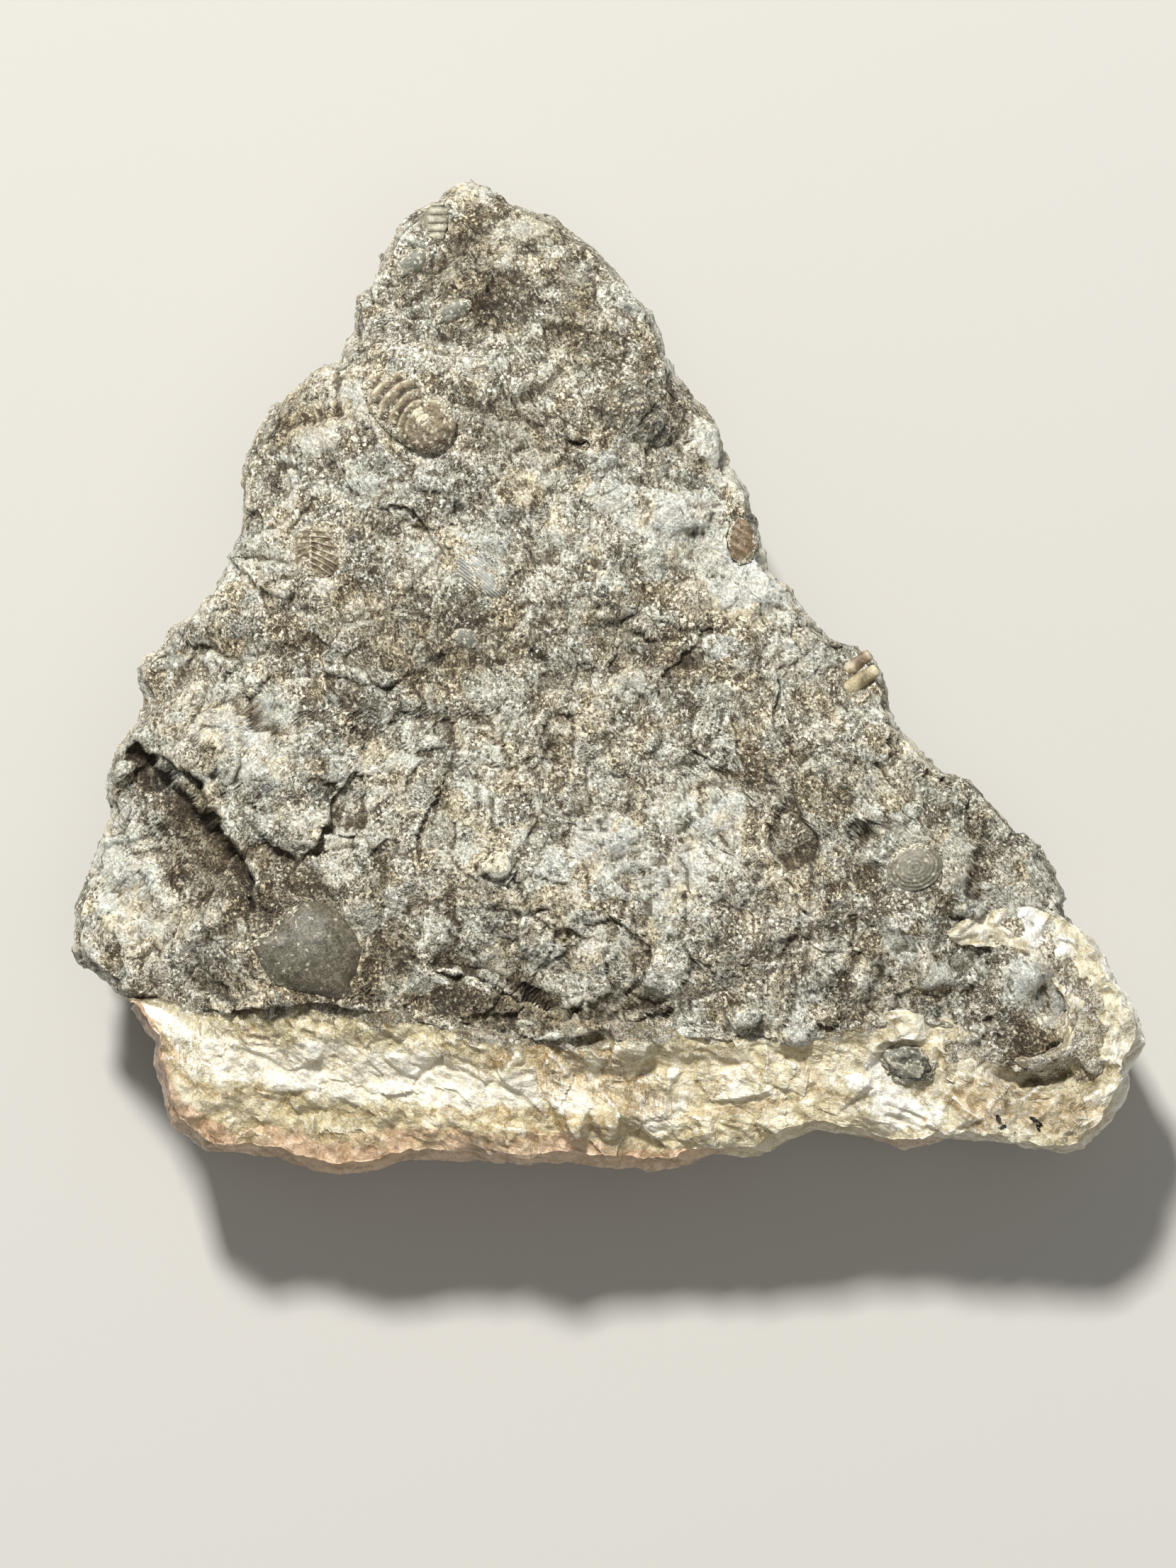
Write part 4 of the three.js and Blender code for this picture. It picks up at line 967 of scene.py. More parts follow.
# middle, half length, half width, turn, slope along it, height
TABLETS = [
    (-5.3, -46.4, 4, 1.5, -50, 0.1, 1), (-9, -45.4, 3.4, 1.2, -48, -0.12, 0.8),
    (-1.6, -47.6, 3, 1.3, -52, 0.1, 0.9), (-16.4, -42, 2.4, 1.6, -20, 0.14, 0.7),
    (-21.6, -42.2, 2.2, 1.5, 35, -0.12, 0.6), (4.4, -47, 2.6, 1.8, 80, 0.1, 0.8),
    (13.6, -45.4, 3, 1.6, 15, 0.12, 0.7), (19.6, -44.4, 2.4, 1.5, -25, -0.14, 0.7),
    (9, -50.6, 2.4, 1.4, -10, 0.12, 0.6), (25.4, -46.6, 2.2, 1.5, 50, 0.14, 0.6),
    (1.4, -43, 2.2, 1.4, 70, 0.14, 0.8), (-12.6, -51.4, 3.4, 1.2, -5, 0.1, 0.6),
    (-36, -42, 2, 1.6, 30, 0.12, 0.5), (37.6, -49, 2.4, 1.5, 30, 0.14, 0.6),
]


def tablet_height(x, y):
    """Split crystals that stand out: sloping flat tops whose sides fall 1.1 mm for each mm out."""
    total = np.full_like(x, -1.0)
    for cx, cy, rx, ry, turn, slope, height in TABLETS:
        u, v = turned(x - cx, y - cy, turn)
        outside = np.maximum(0, np.abs(u + 0.4 * v) - rx) + np.maximum(0, np.abs(v) - ry)
        total = np.maximum(total, 0.85 * height + slope * u - 0.08 * v - 1.1 * outside)
    return total


leaning = warped(vein, 4, 0.5, 590)
fx, fy = leaning[:, 0] + 0.8 * leaning[:, 2], 0.75 * leaning[:, 1] + 0.6 * leaning[:, 2]
blocks = np.maximum(facets(fx, fy, 6.5, 17, 600), facets(fx, fy, 5.2, 62, 610) - 0.1)
blades = np.maximum(facets(fx, 0.7 * fy, 2.9, 40, 620), facets(fx, 0.7 * fy, 2.3, 5, 630))
chipped = np.maximum(facets(fx, fy, 1.3, 25, 640), facets(fx, fy, 1.1, 70, 650))
teeth = broken_3d(leaning, 2.2, 660, saw=0.6)
calm = 1 - 0.5 * (1 - smoothstep(vein[:, 0], -26, -14)) - 0.3 * smoothstep(vein[:, 0], 26, 36)
broad = (0.36 * blocks + 0.32 * blades) * calm
in_top = np.append(on_top, [False, False]) & (vein[:, 0] < 48)
broad = np.maximum(broad, np.where(in_top, tablet_height(leaning[:, 0], leaning[:, 1]), -1))
craggy = 0.26 + 0.18 * smoothstep(vein[:, 0], 28, 42)
vein_rough = broad + craggy * chipped + 0.06 * teeth - 0.32
on_back = np.append(np.tile(np.arange(loop) >= VEIN_TOP + VEIN_WALL, stations), [True, True])
vein_rough = np.where(on_back, -0.5 * np.abs(vein_rough), vein_rough)
vein_fine = vein + vein_normals * vein_rough[:, None]
vein_fine[:, 2] = np.maximum(vein_fine[:, 2], 0)
vein_edge, vein_hollow = edge_and_hollow(vein_fine, vein_faces, vein_normals)
broad_normals = outward_normals(vein + vein_normals * broad[:, None], vein_faces)
painted_facet_light = broad_normals @ FACET_LIGHT_SIDE
print("vein points:", len(vein), "roughness", np.round([vein_rough.min(), vein_rough.max()], 2), "mm")


# %% Marks of the vein
AMBER = [
    (-6, -43.5, 6, 3.4, -35, 1), (2, -46, 6, 3, -30, 0.8), (-13, -43, 3, 3, 0, 0.6),
    (-50, -42, 3, 3, 0, 0.5), (-30, -52.5, 10, 2, 0, 0.45), (-5, -50, 12, 2, 0, 0.5),
    (20, -44, 6, 3, 0, 0.35), (-40, -41, 5, 2, 0, 0.4), (42, -47.6, 6, 3.4, 0, 0.6),
    (50, -49.6, 6, 3, 0, 0.55), (9.5, -46, 3, 3.6, 0, 0.4),
]
GREY_ZONE = [
    (-22, -39.5, 9, 1.8, -4, 0.8), (-4, -41.2, 12, 1.6, 0, 0.7), (-45, -39.5, 6, 1.4, -10, 0.6),
    (20, -41.5, 12, 1.5, 0, 0.5), (58.3, -38, 1.6, 2.4, 0, 0.8), (-49.5, -41, 4.6, 3.4, -40, 0.9),
    (36, -46, 4, 2, 0, 0.4), (0, -52.5, 14, 1.2, 0, 0.5), (-30, -43, 6, 1.4, 0, 0.35),
    (57.5, -42, 2, 3, 0, 0.4),
]
BROWN_SIDE = [
    (-47, -51.6, 8, 4, -35, 1.1), (-31, -54.6, 12, 3.2, 0, 1.1), (-52.8, -38, 2.6, 1.8, -40, 1),
    (-2, -54.6, 20, 1.6, 0, 0.9), (30, -52.6, 12, 1.2, 0, 0.6), (51, -52, 6, 2, 0, 0.4),
]
BLACK_SPECKS = [
    (43.4, -49.6, 0.3, 0.7, 20, 1), (43.9, -50.4, 0.6, 0.3, 20, 1), (47.5, -49.6, 0.7, 0.3, -35, 1),
    (48.1, -50.3, 0.3, 0.6, 0, 1), (45.2, -51, 0.3, 0.3, 0, 0.8), (30, -43, 0.6, 0.5, 0, 0.5),
]
SUGAR = [
    (5.5, -48.6, 3, 2.2, 0, 0.9), (29.4, -45, 2.6, 2.6, 0, 0.8), (33.5, -48.6, 4.6, 2.4, 0, 1.1),
    (49, -29, 5, 1.6, -30, 0.6), (57, -42, 1.6, 4, 0, 0.5),
]
# Limestone crumbs on the crystals; the patches under the right block also paint the shadow of its overhang.
CRUMBS_AND_SHADOWS = [
    (-2.2, -40.8, 2.6, 1.5, 0, 0.9), (-4, -39.6, 5, 1.8, 0, 0.8), (48.5, -43.4, 7, 2, -4, 1.5),
    (-14, -38.6, 6, 1.6, 0, 0.6), (30, -39, 3, 1.2, 0, 0.5), (40, -40.2, 3, 1, -30, 0.6),
    (45.6, -31.4, 4.4, 1.1, -12, 1), (50.6, -33.2, 3.2, 1.7, -35, 1.3), (53.6, -35.6, 2, 2.8, 20, 1.4),
    (53.8, -39.6, 1.9, 3.6, 0, 1.4), (42.8, -42.2, 4.4, 1.6, -8, 1.5), (47.6, -44.2, 6, 1.7, -4, 1.5),
]
vx, vy = vein[:, 0], vein[:, 1]
across = np.full((stations, loop), 1.2)
across[:, :VEIN_TOP] = np.linspace(0, 1, VEIN_TOP)
across = np.concatenate([across.ravel(), [1.2, 1.2]]) + 0.05 * ruggedness(vx, vy, 4, 770)
straight = 1 - smoothstep(vx, 26, 34)
sugar_zone = smoothstep(across, 0.2, 0.34) * (1 - smoothstep(across, 0.58, 0.66))
sugar_zone *= mix(1, 0.35, smoothstep(vx, -12, 2)) * straight
sugar_zone = np.maximum(sugar_zone, soft_patches(vx, vy, SUGAR, 775))
tan_zone = smoothstep(across, 0.62, 0.68) * (1 - smoothstep(across, 0.7, 0.78)) * straight * 0.6
grey_zone = 0.8 * (1 - smoothstep(across, 0.14, 0.34)) * straight
pink_zone = 0.62 * smoothstep(across, 0.8, 0.88) * (1 - smoothstep(vx, 0, 14))
wall_zone = 0.8 * (across > 1.12) * (1 - smoothstep(vx, 4, 26))
vein_marks = {
    "amber": soft_patches(vx, vy, AMBER, 700),
    "grey": np.maximum(soft_patches(vx, vy, GREY_ZONE, 720), grey_zone),
    "brown": np.maximum(np.maximum(soft_patches(vx, vy, BROWN_SIDE, 740, 0.3), pink_zone), wall_zone),
    "crumb_and_shadow": (1 - smoothstep(across, 0.04, 0.2)) * straight + soft_patches(vx, vy, CRUMBS_AND_SHADOWS, 780),
    "painted_facet_light": np.clip(0.42 + 0.85 * painted_facet_light, 0, 1),
    # faces turned away from the lamp, for a painted warm glow
    "away": np.clip(0.4 - 1.1 * broad_normals[:, 1], 0, 1),
    "black": soft_patches(vx, vy, BLACK_SPECKS, 760),
    "sugar": sugar_zone,
    "tan": tan_zone,
    "cool": np.maximum(smoothstep(vx, 14, 40), 0.6 * (1 - smoothstep(vx, -50, -42))),
    "edge": np.clip(0.5 + 4 * vein_edge, 0, 1),
    "relief": np.clip(0.5 + 0.8 * vein_hollow, 0, 1),
}
calcite = stone_mesh("calcite_crystals", vein_fine, vein_faces, vein_marks, smooth=False)
stand_in(calcite, "calcite_vein")
print("vein triangles:", sum(len(f) * (f.shape[1] - 2) for f in vein_faces))


# %% [markdown]
# ## Fossils on their seats
#
# A trilobite's tail is one plate, ribbed like a fan or a scallop. The ribs could be swept one by one,
# but they are a ripple of one surface, so each fossil is a height worked out over its outline: rings
# from the middle to the edge, then a short wall down into the pocket and a flat underside.

# %% A plate over an outline
def plate_points(outline, relief, rings, segments, depth):
    """Middle point, rings of the upper surface, a foot ring and the middle of the underside."""
    share = (np.arange(1, rings + 1) / rings)[:, None]
    edge = walk_outline(np.asarray(outline, float), np.arange(segments) / segments)
    plan = np.vstack([[[0, 0]], (edge[None] * share[..., None]).reshape(-1, 2)])
    ring = np.concatenate([[0], np.repeat(share, segments)])
    height, marks = relief(plan[:, 0], plan[:, 1], ring)
    foot = np.column_stack([edge, np.full(segments, -depth)])
    points = np.vstack([np.column_stack([plan, height]), foot, [0, 0, -depth]])
    below = segments + 1
    return points, {label: np.concatenate([values, np.full(below, values[-1])])
                    for label, values in marks.items()}


def plate_faces(rings, segments):
    """A fan at the middle, quads between rings and down the wall, and a fan underneath."""
    index = 1 + np.arange((rings + 1) * segments).reshape(rings + 1, segments)
    loop = np.hstack([index, index[:, :1]])
    last = 1 + (rings + 1) * segments
    inner, foot = loop[0], loop[-1]
    top_fan = np.stack([np.zeros(segments, int), inner[:-1], inner[1:]], -1)
    under_fan = np.stack([foot[1:], foot[:-1], np.full(segments, last)], -1)
    return [top_fan, grid_faces(loop)[:, ::-1], under_fan]


def seat_fossil(name, piece_name, relief, rings=70, segments=220):
    """Makes one fossil over its outline, at its solid's place, and puts it in the solid's stead."""
    at, _, depth, outline = CARVED[name]
    points, marks = plate_points(outline, relief, rings, segments, depth)
    faces = plate_faces(rings, segments)
    points = points + np.array([at[0], at[1], seat_level(name)])
    grit = broken_3d(points, 0.6, 800)
    points = points + outward_normals(points, faces) * (0.06 * grit * (0.25 + marks["worn"]))[:, None]
    return stand_in(stone_mesh(piece_name, points, faces, marks), name)


print("a plate of 70 rings has", sum(len(f) for f in plate_faces(70, 220)), "faces")


# %% [markdown]
# The large tail is the specimen's best fossil. Its ribs are not even waves: each rises slowly and
# drops sharply into a thin furrow, painted dark as shade, on its outer side. They are sharpest towards
# the upper left and die out round the smooth bulb, whose crown is painted pale, partly as rubbed white
# stone and partly as a highlight, and whose lower right side is painted darker, partly as shade and
# partly as brown grit.

# %% The large ribbed tail
TAIL_CRESTS = [0.5, 1.4, 2.24, 3.1, 4.3, 5.7, 7.05, 8.4, 9.8]     # distance of each rib's crest


def tail_relief(x, y, ring):
    """A dome with concentric saw-toothed ribs that face the upper left."""
    away = np.hypot(x, y) + 0.12 * smooth_noise(x / 1.6, y / 1.6, 811)
    dome = 2.1 * (1 - (away / 10) ** 1.5) - 0.8 * ring ** 6
    phase = np.interp(away, TAIL_CRESTS, np.arange(len(TAIL_CRESTS))) % 1
    rib = smoothstep(np.where(phase < 0.2, 1 - phase / 0.2, (phase - 0.2) / 0.8), 0, 1)
    shown = smoothstep(away, 0.9, 3.6) * smoothstep(y - 0.9 * x, -0.8, 2)
    torn_crown = 0.5 * ruggedness(x, y, 0.8, 814)
    painted_crown_highlight = (1 - smoothstep(np.hypot(x + 0.7, y - 1.1) + torn_crown, 0.3, 2.2)) * (0.55 + 0.35 * rib)
    painted_crown_highlight = np.maximum(painted_crown_highlight, 0.5 * smoothstep(rib, 0.75, 1) * shown)
    gritty = 0.14 * ruggedness(x, y, 0.6, 813) + 0.08 * ruggedness(x, y, 1.6, 815)
    # the lower right side, painted darker, partly as shade and partly as brown grit
    rim = smoothstep(0.3 * x - y, 0.6, 2.2)
    torn = smoothstep(ring + 0.3 * ruggedness(x, y, 1.1, 812), 0.74, 1) * smoothstep(away, 1.4, 3.2)
    marks = {"worn": torn, "groove": mix(0.5, rib, shown), "painted_crown_highlight": painted_crown_highlight, "rim": rim}
    return dome + 0.3 * shown * (rib - 0.45) - 0.15 * torn + gritty, marks


large_tail = seat_fossil("trilobite_tail", "large_tail", tail_relief, 110, 300)


# %% The small banded axis near the tip
def axis_relief(x, y, ring):
    """Smooth bands across a narrow rounded ridge, with a thin groove between them."""
    phase = (y / 0.95 + 0.1) % 1
    band = np.sqrt(np.clip(1 - (2 * phase - 1) ** 2, 0, 1))
    side = smoothstep(-x, 0.8, 1.3)
    ridge = 0.8 - 0.28 * (x - 0.1) ** 2 - 0.3 * ring ** 4
    marks = {"worn": smoothstep(ring, 0.85, 1), "groove": mix(band, 0.5, side)}
    return ridge + 0.28 * (band - 0.5) * (1 - side), marks


small_axis = seat_fossil("small_tail_axis", "banded_axis", axis_relief, 50, 160)


# %% The fan of ribs near the left edge
def fan_relief(x, y, ring):
    """Thin ribs that leave the axis 0.6 mm apart, the lower ones more steeply, on one side of it."""
    from_axis = np.abs(x + 1.0)
    start = (y + 0.33 * from_axis + 0.03 * from_axis ** 2) / (1 + 0.17 * from_axis)
    phase = (start / 0.6 + 0.15 * smooth_noise(x, y, 823)) % 1
    rib = np.exp(-((phase - 0.5) / 0.2) ** 2)
    reach = 3.4 - 0.3 * start ** 2 + 0.5 * smooth_noise(x / 0.8, y / 0.8, 824)
    right = smoothstep(x, -1.1, -0.9) * (1 - smoothstep(from_axis, reach - 0.9, reach))
    left = 0.6 * smoothstep(-x, 0.9, 1.1) * (1 - smoothstep(from_axis, 1.3, 2.2))
    left *= smoothstep(start, -1.2, -0.6)
    strength = (right + left) * (1 - smoothstep(np.abs(start), 1.7, 2.5))
    axis = 0.16 * np.exp(-(from_axis / 0.22) ** 2) * (1 - smoothstep(np.abs(y), 2.2, 3))
    wash = 0.16 * ruggedness(x, y, 1.8, 821) * (1 - strength)
    # the crown marks the pale axis and rib crests, a painted highlight
    marks = {"worn": np.clip(1 - 1.2 * strength, 0, 1),
             "groove": mix(0.6, 0.25 + 0.6 * rib, np.clip(strength, 0, 1)),
             "painted_crown_highlight": np.clip(axis * 4 + 0.6 * strength * smoothstep(rib, 0.5, 0.9), 0, 1)}
    return 0.3 + 0.24 * rib * strength + axis - 0.3 * ring ** 5 + wash, marks


ribbed_fan = seat_fossil("ribbed_fan", "worn_fan", fan_relief, 90, 260)


# %% The smooth tail at the right edge
def edge_relief(x, y, ring):
    """A smooth slope with faint slanting ribs."""
    wave = np.cos(2 * np.pi * (y + 0.6 * x) / 1.1)
    worn = smoothstep(ring + 0.3 * ruggedness(x, y, 1.6, 826), 0.6, 1)
    marks = {"worn": worn, "groove": 0.55 + 0.12 * wave}
    return 0.8 - 0.6 * ring ** 2.5 + 0.05 * wave, marks


edge_tail = seat_fossil("edge_tail", "brown_edge_tail", edge_relief, 50, 160)


# %% [markdown]
# The brachiopod is half of a lamp shell, a plain dome like a fingernail. Fine growth lines follow its
# margin, and a chip along its upper left edge shows the white shell in section.

# %% The lamp shell
def lamp_shell_relief(x, y, ring):
    """Part of a ball over the outline, faintly folded, with growth lines near the margin."""
    rounded = 2.6 * np.sqrt(np.clip(1.04 - ring ** 2, 0, None)) - 0.7
    wave = np.cos(2 * np.pi * 8 * ring ** 2 + 1.5 * smooth_noise(x / 3, y / 3, 833))
    growth = 0.006 * wave * smoothstep(ring, 0.4, 0.9)
    fold = 0.1 * np.exp(-((x - 1.2 - 0.2 * y) / 0.9) ** 2)
    dents = 0.12 * ruggedness(x, y, 2.6, 831)
    torn = 0.1 * ruggedness(x, y, 0.9, 832)
    chipped = smoothstep(ring + torn, 0.9, 0.96) * smoothstep(y - x, 3.4, 4.8) * smoothstep(-x, 0.6, 1.6)
    buried = smoothstep(ring + torn, 0.95, 1.02) * smoothstep(x - y, 3, 5)
    # the crown is a painted highlight right of the top, and the rim is painted shade on the lower side
    marks = {"worn": np.clip(chipped + 0.4 * buried, 0, 1), "groove": 0.5 + 0.03 * wave,
             "painted_crown_highlight": 0.35 * (1 - smoothstep(np.hypot(x - 1.6, y - 1.6), 0.4, 2.4)),
             "rim": 0.7 * smoothstep(-y + 0.4 * x, 0, 6)}
    return rounded + growth + fold + dents - 0.3 * chipped, marks


lamp_shell = seat_fossil("brachiopod_shell", "lamp_shell", lamp_shell_relief, 90, 260)
print("fossil plates:", [o.name for o in (large_tail, small_axis, ribbed_fan, edge_tail, lamp_shell)])


# %% [markdown]
# ## Small shells and the clast
#
# The last pieces are pebbles of shell and stone. Each is a ball whose half sizes and turn come from
# the list of seats, and which is then dented or combed. A ball on a grid of angles would have a tight
# pole on top, so the poles point sideways, where they are buried.

# %% Rounded pieces
def pebble(name, piece_name, texture, seat=None, height=None, rows=70, segments=120):
    """A ball with its poles sideways, pushed out along its radius by texture(p) of the unit ball."""
    at, half, degrees = seat or NUGGETS[name]
    polar = np.pi * np.arange(1, rows) / rows
    around = 2 * np.pi * np.arange(segments) / segments
    unit = np.stack([np.cos(polar)[:, None] + 0 * around, np.sin(polar)[:, None] * np.cos(around),
                     np.sin(polar)[:, None] * np.sin(around)], -1).reshape(-1, 3)
    unit = np.vstack([[1, 0, 0], unit, [-1, 0, 0]])
    swell, worn = texture(unit)
    local = unit * np.array(half) * (1 + swell)[:, None]
    x, y = turned(local[:, 0], local[:, 1], -degrees)
    level = height or seat_level(name) - 0.3 * half[2]
    points = np.column_stack([x + at[0], y + at[1], local[:, 2] + level])
    index = 1 + np.arange((rows - 1) * segments).reshape(rows - 1, segments)
    belt = np.hstack([index, index[:, :1]])
    last = len(points) - 1
    first_fan = np.stack([np.zeros(segments, int), belt[0, :-1], belt[0, 1:]], -1)
    last_fan = np.stack([np.full(segments, last), belt[-1, 1:], belt[-1, :-1]], -1)
    faces = [first_fan, grid_faces(belt)[:, ::-1], last_fan]
    marks = {"worn": worn, "groove": np.clip(0.5 + 5 * swell, 0, 1), "edge": 0 * worn + 0.5,
             "relief": np.clip(0.5 + 3 * swell, 0, 1)}
    return stand_in(stone_mesh(piece_name, points, faces, marks), name)


def polished(unit):
    """A faint waviness, with no worn places but the rim."""
    dents = broken_3d(unit, 0.9, 900)
    away = np.hypot(unit[:, 0], unit[:, 1]) + 0.3 * noise_3d(unit, 0.4, 901)
    return 0.05 * dents, smoothstep(away, 0.55, 0.95)


def combed(unit):
    """Fine ridges along the length, as on a split shell."""
    ridges = np.cos(unit[:, 1] * 34 + 3 * unit[:, 0] ** 2 + noise_3d(unit, 0.4, 910))
    return 0.035 * ridges, smoothstep(noise_3d(unit, 0.35, 911), -0.4, 0.4)


def ringed(unit):
    """Growth lines round the middle of a disc."""
    away = np.hypot(unit[:, 0], unit[:, 1])
    arc = smoothstep(unit[:, 1], 0.35, 0.75) * smoothstep(away, 0.7, 0.85)
    return 0.03 * np.cos(away * 40) + 0.05 * noise_3d(unit, 0.4, 920), np.clip(arc, 0, 1)


def bar_shaped(unit):
    """A bar with blunt ends, slightly thinner at its right: a ball with its squares made fifth powers."""
    blunt = (np.abs(unit[:, 0]) ** 5 + np.hypot(unit[:, 1], unit[:, 2]) ** 5) ** -0.2 - 1
    thinner = 0.12 * smoothstep(unit[:, 0], -0.4, 1)
    return blunt - thinner + 0.04 * noise_3d(unit, 0.5, 930), 0.3 * (unit[:, 0] > 0.8)


small_shells = [
    pebble("thorax_bar_lower", "lower_thorax_bar", bar_shaped,
           ((28.1, -0.2), (2.3, 0.85, 0.6), 34), seat_level("thorax_bar_lower") - 0.35),
    pebble("thorax_bar_upper", "upper_thorax_bar", bar_shaped,
           ((27.7, 1.7), (1.8, 0.8, 0.6), 36), seat_level("thorax_bar_upper") - 0.4),
    pebble("curved_shell", "grey_curved_shell", polished),
    pebble("comma_shell", "grey_comma_shell", polished),
    pebble("shell_chip", "grey_shell_chip", polished),
    pebble("striated_shell", "combed_shell", combed),
    pebble("disc_shell", "ringed_shell", ringed),
]


def broken_lump(unit):
    """A lump of stone with broken faces."""
    faces = broken_3d(unit, 0.7, 940)
    grit = broken_3d(unit, 0.24, 941)
    return 0.12 * faces + 0.03 * grit, smoothstep(np.hypot(unit[:, 0], unit[:, 1]) + 0.1 * grit, 0.66, 0.9)


clast = pebble("limestone_clast", "stone_in_the_vein", broken_lump,
               (CLAST[0], (*CLAST[1], 2.2), CLAST[2]), clast_level - 1.3)
print("small pieces:", len(small_shells) + 1)


# %% [markdown]
# ## Materials
#
# A material is a small sum: so much of this tone, less where the stone is glassy. Written with nodes
# one by one, the sum is hard to read. So one small class stands for a socket and lets Python's own
# signs add the Math nodes, and one method adds any other node.

# %% Sockets that add up like numbers
def linear(red, green, blue):
    """A colour given as it looks on a screen, from 0 to 255, as the light values Blender works in."""
    return tuple((np.array([red, green, blue]) / 255) ** 2.2) + (1.0,)


class Shade:
    """One output of a node. +, - and * on it add the Math node that works them out."""

    def __init__(self, socket):
        self.socket = socket

    def sum(self, operation, first, second):
        node = self.socket.id_data.nodes.new("ShaderNodeMath")
        node.operation = operation
        for slot, value in zip(node.inputs, (first, second)):
            plug(slot, value)
        return Shade(node.outputs[0])

    def __add__(self, other):
        return self.sum("ADD", self, other)

    def __sub__(self, other):
        return self.sum("SUBTRACT", self, other)

    def __rsub__(self, other):
        return self.sum("SUBTRACT", other, self)

    def __mul__(self, other):
        return self.sum("MULTIPLY", self, other)

    __radd__ = __add__
    __rmul__ = __mul__


def plug(slot, value):
    """Links a Shade into a node's input, or sets the input to a plain value."""
    if isinstance(value, Shade):
        slot.id_data.links.new(value.socket, slot)
    else:
        slot.default_value = value


class Finish:
    """A material with one surface shader, and the few kinds of pattern that stone needs."""

    def __init__(self, name):
        self.material = bpy.data.materials.new(name)
        self.material.use_nodes = True
        self.tree = self.material.node_tree
        self.surface = self.tree.nodes["Principled BSDF"]

    def node(self, kind, settings=None, inputs=None):
        """Adds a node: settings first, then the values or links of its inputs. Returns its outputs."""
        node = self.tree.nodes.new(kind)
        for label, value in (settings or {}).items():
            if label == "stops":
                for n, (place, colour) in enumerate(value):
                    stop = node.color_ramp.elements[n] if n < 2 else node.color_ramp.elements.new(place)
                    stop.position, stop.color = place, colour
            else:
                setattr(node, label, value)
        for label, value in (inputs or {}).items():
            plug(next(s for s in node.inputs if s.enabled and s.name == label), value)
        return {s.name: Shade(s) for s in node.outputs if s.enabled}

    def millimetres(self):
        place = self.node("ShaderNodeTexCoord")["Object"]
        return self.vector("SCALE", place, Scale=1 / MM)

    def vector(self, operation, first, second=None, **more):
        inputs = {"Vector": first, **more}
        made = self.node("ShaderNodeVectorMath", {"operation": operation}, inputs)
        if second is not None:
            plug(self.tree.nodes[-1].inputs[1], second)
        return made.get("Vector") or made["Value"]

    def noise(self, place, scale, detail=3, rough=0.6, twist=0.0, give="Fac"):
        inputs = {"Vector": place, "Scale": scale, "Detail": detail, "Roughness": rough,
                  "Distortion": twist}
        return self.node("ShaderNodeTexNoise", {}, inputs)[give]

    def streaks(self, place, scale, squeeze):
        """Two noises drawn out lengthways: one across the stone and one along it."""
        ways = (1.0, squeeze, 0.6), (squeeze, 1.0, 0.6)
        return [self.noise(self.vector("MULTIPLY", place, way), scale, 2, 0.85) for way in ways]

    def marks(self, *labels):
        return [self.node("ShaderNodeAttribute", {"attribute_name": label})["Fac"] for label in labels]

    def warp(self, place, scale, reach):
        """The place, pushed about by a noise, so that patterns drawn over it bend."""
        push = self.vector("SUBTRACT", self.noise(place, scale, 2, give="Color"), (0.5, 0.5, 0.5))
        return self.vector("ADD", place, self.vector("SCALE", push, Scale=reach))

    def threads(self, place, scale, width=0.04, twist=0.8):
        """Thin wandering lines, 1 on them and 0 off them: where a noise passes through its middle."""
        shift = self.noise(place, scale, 3, 0.6, twist) - 0.5
        return 1.0 - self.above(shift.sum("ABSOLUTE", shift, 0.0), 0.0, width)

    def grains(self, place, scale):
        """Cells of a scattered lattice: each one's own colour, and a plane tilted by that colour."""
        cells = self.node("ShaderNodeTexVoronoi", {}, {"Vector": place, "Scale": scale})
        lean = self.vector("SUBTRACT", cells["Color"], (0.5, 0.5, 0.5))
        away = self.vector("SUBTRACT", place, cells["Position"])
        own = self.node("ShaderNodeSeparateColor", {}, {"Color": cells["Color"]})
        return own["Red"], own["Green"], self.vector("DOT_PRODUCT", away, lean)

    def border(self, place, scale):
        """How far each point lies from the border of its cell, in the same lattice as grains."""
        settings = {"feature": "DISTANCE_TO_EDGE"}
        return self.node("ShaderNodeTexVoronoi", settings, {"Vector": place, "Scale": scale})["Distance"]

    def above(self, value, edge, width=0.06):
        """0 below the edge and 1 above it, eased over a width."""
        ranged = {"Value": value, "From Min": edge, "From Max": edge + width}
        return self.node("ShaderNodeMapRange", {"interpolation_type": "SMOOTHSTEP"}, ranged)["Result"]

    def ramp(self, value, *stops):
        """A colour that runs through stops: a place, then red, green and blue as on a screen."""
        return self.tint(value, *[(place, *linear(*screen)[:3]) for place, *screen in stops])

    def tint(self, value, *stops):
        """The same for a colour to multiply by, so its stops are light values round 1."""
        stops = [(place, (*light, 1)) for place, *light in stops]
        return self.node("ShaderNodeValToRGB", {"stops": stops}, {"Fac": value})["Color"]

    def blend(self, share, under, over, way="MIX"):
        settings = {"data_type": "RGBA", "blend_type": way}
        return self.node("ShaderNodeMix", settings, {"Factor": share, "A": under, "B": over})["Result"]

    def coats(self, colour, *coats):
        """Lays coats over a colour, one upon another, each a share and a screen colour."""
        for share, screen in coats:
            colour = self.blend(share, colour, linear(*screen))
        return colour

    def tinted(self, colour, *tints):
        """Multiplies a colour by tints, each with its share."""
        for share, tint in tints:
            colour = self.blend(share, colour, tint, "MULTIPLY")
        return colour

    def bumps(self, *layers):
        """Bumps one upon another, broad ones first: each a height, a depth in mm and a strength."""
        normal = {}
        for height, depth, strength in layers:
            inputs = {"Height": height, "Distance": depth * MM, "Strength": strength, **normal}
            normal = self.node("ShaderNodeBump", {}, inputs)
        return normal["Normal"]

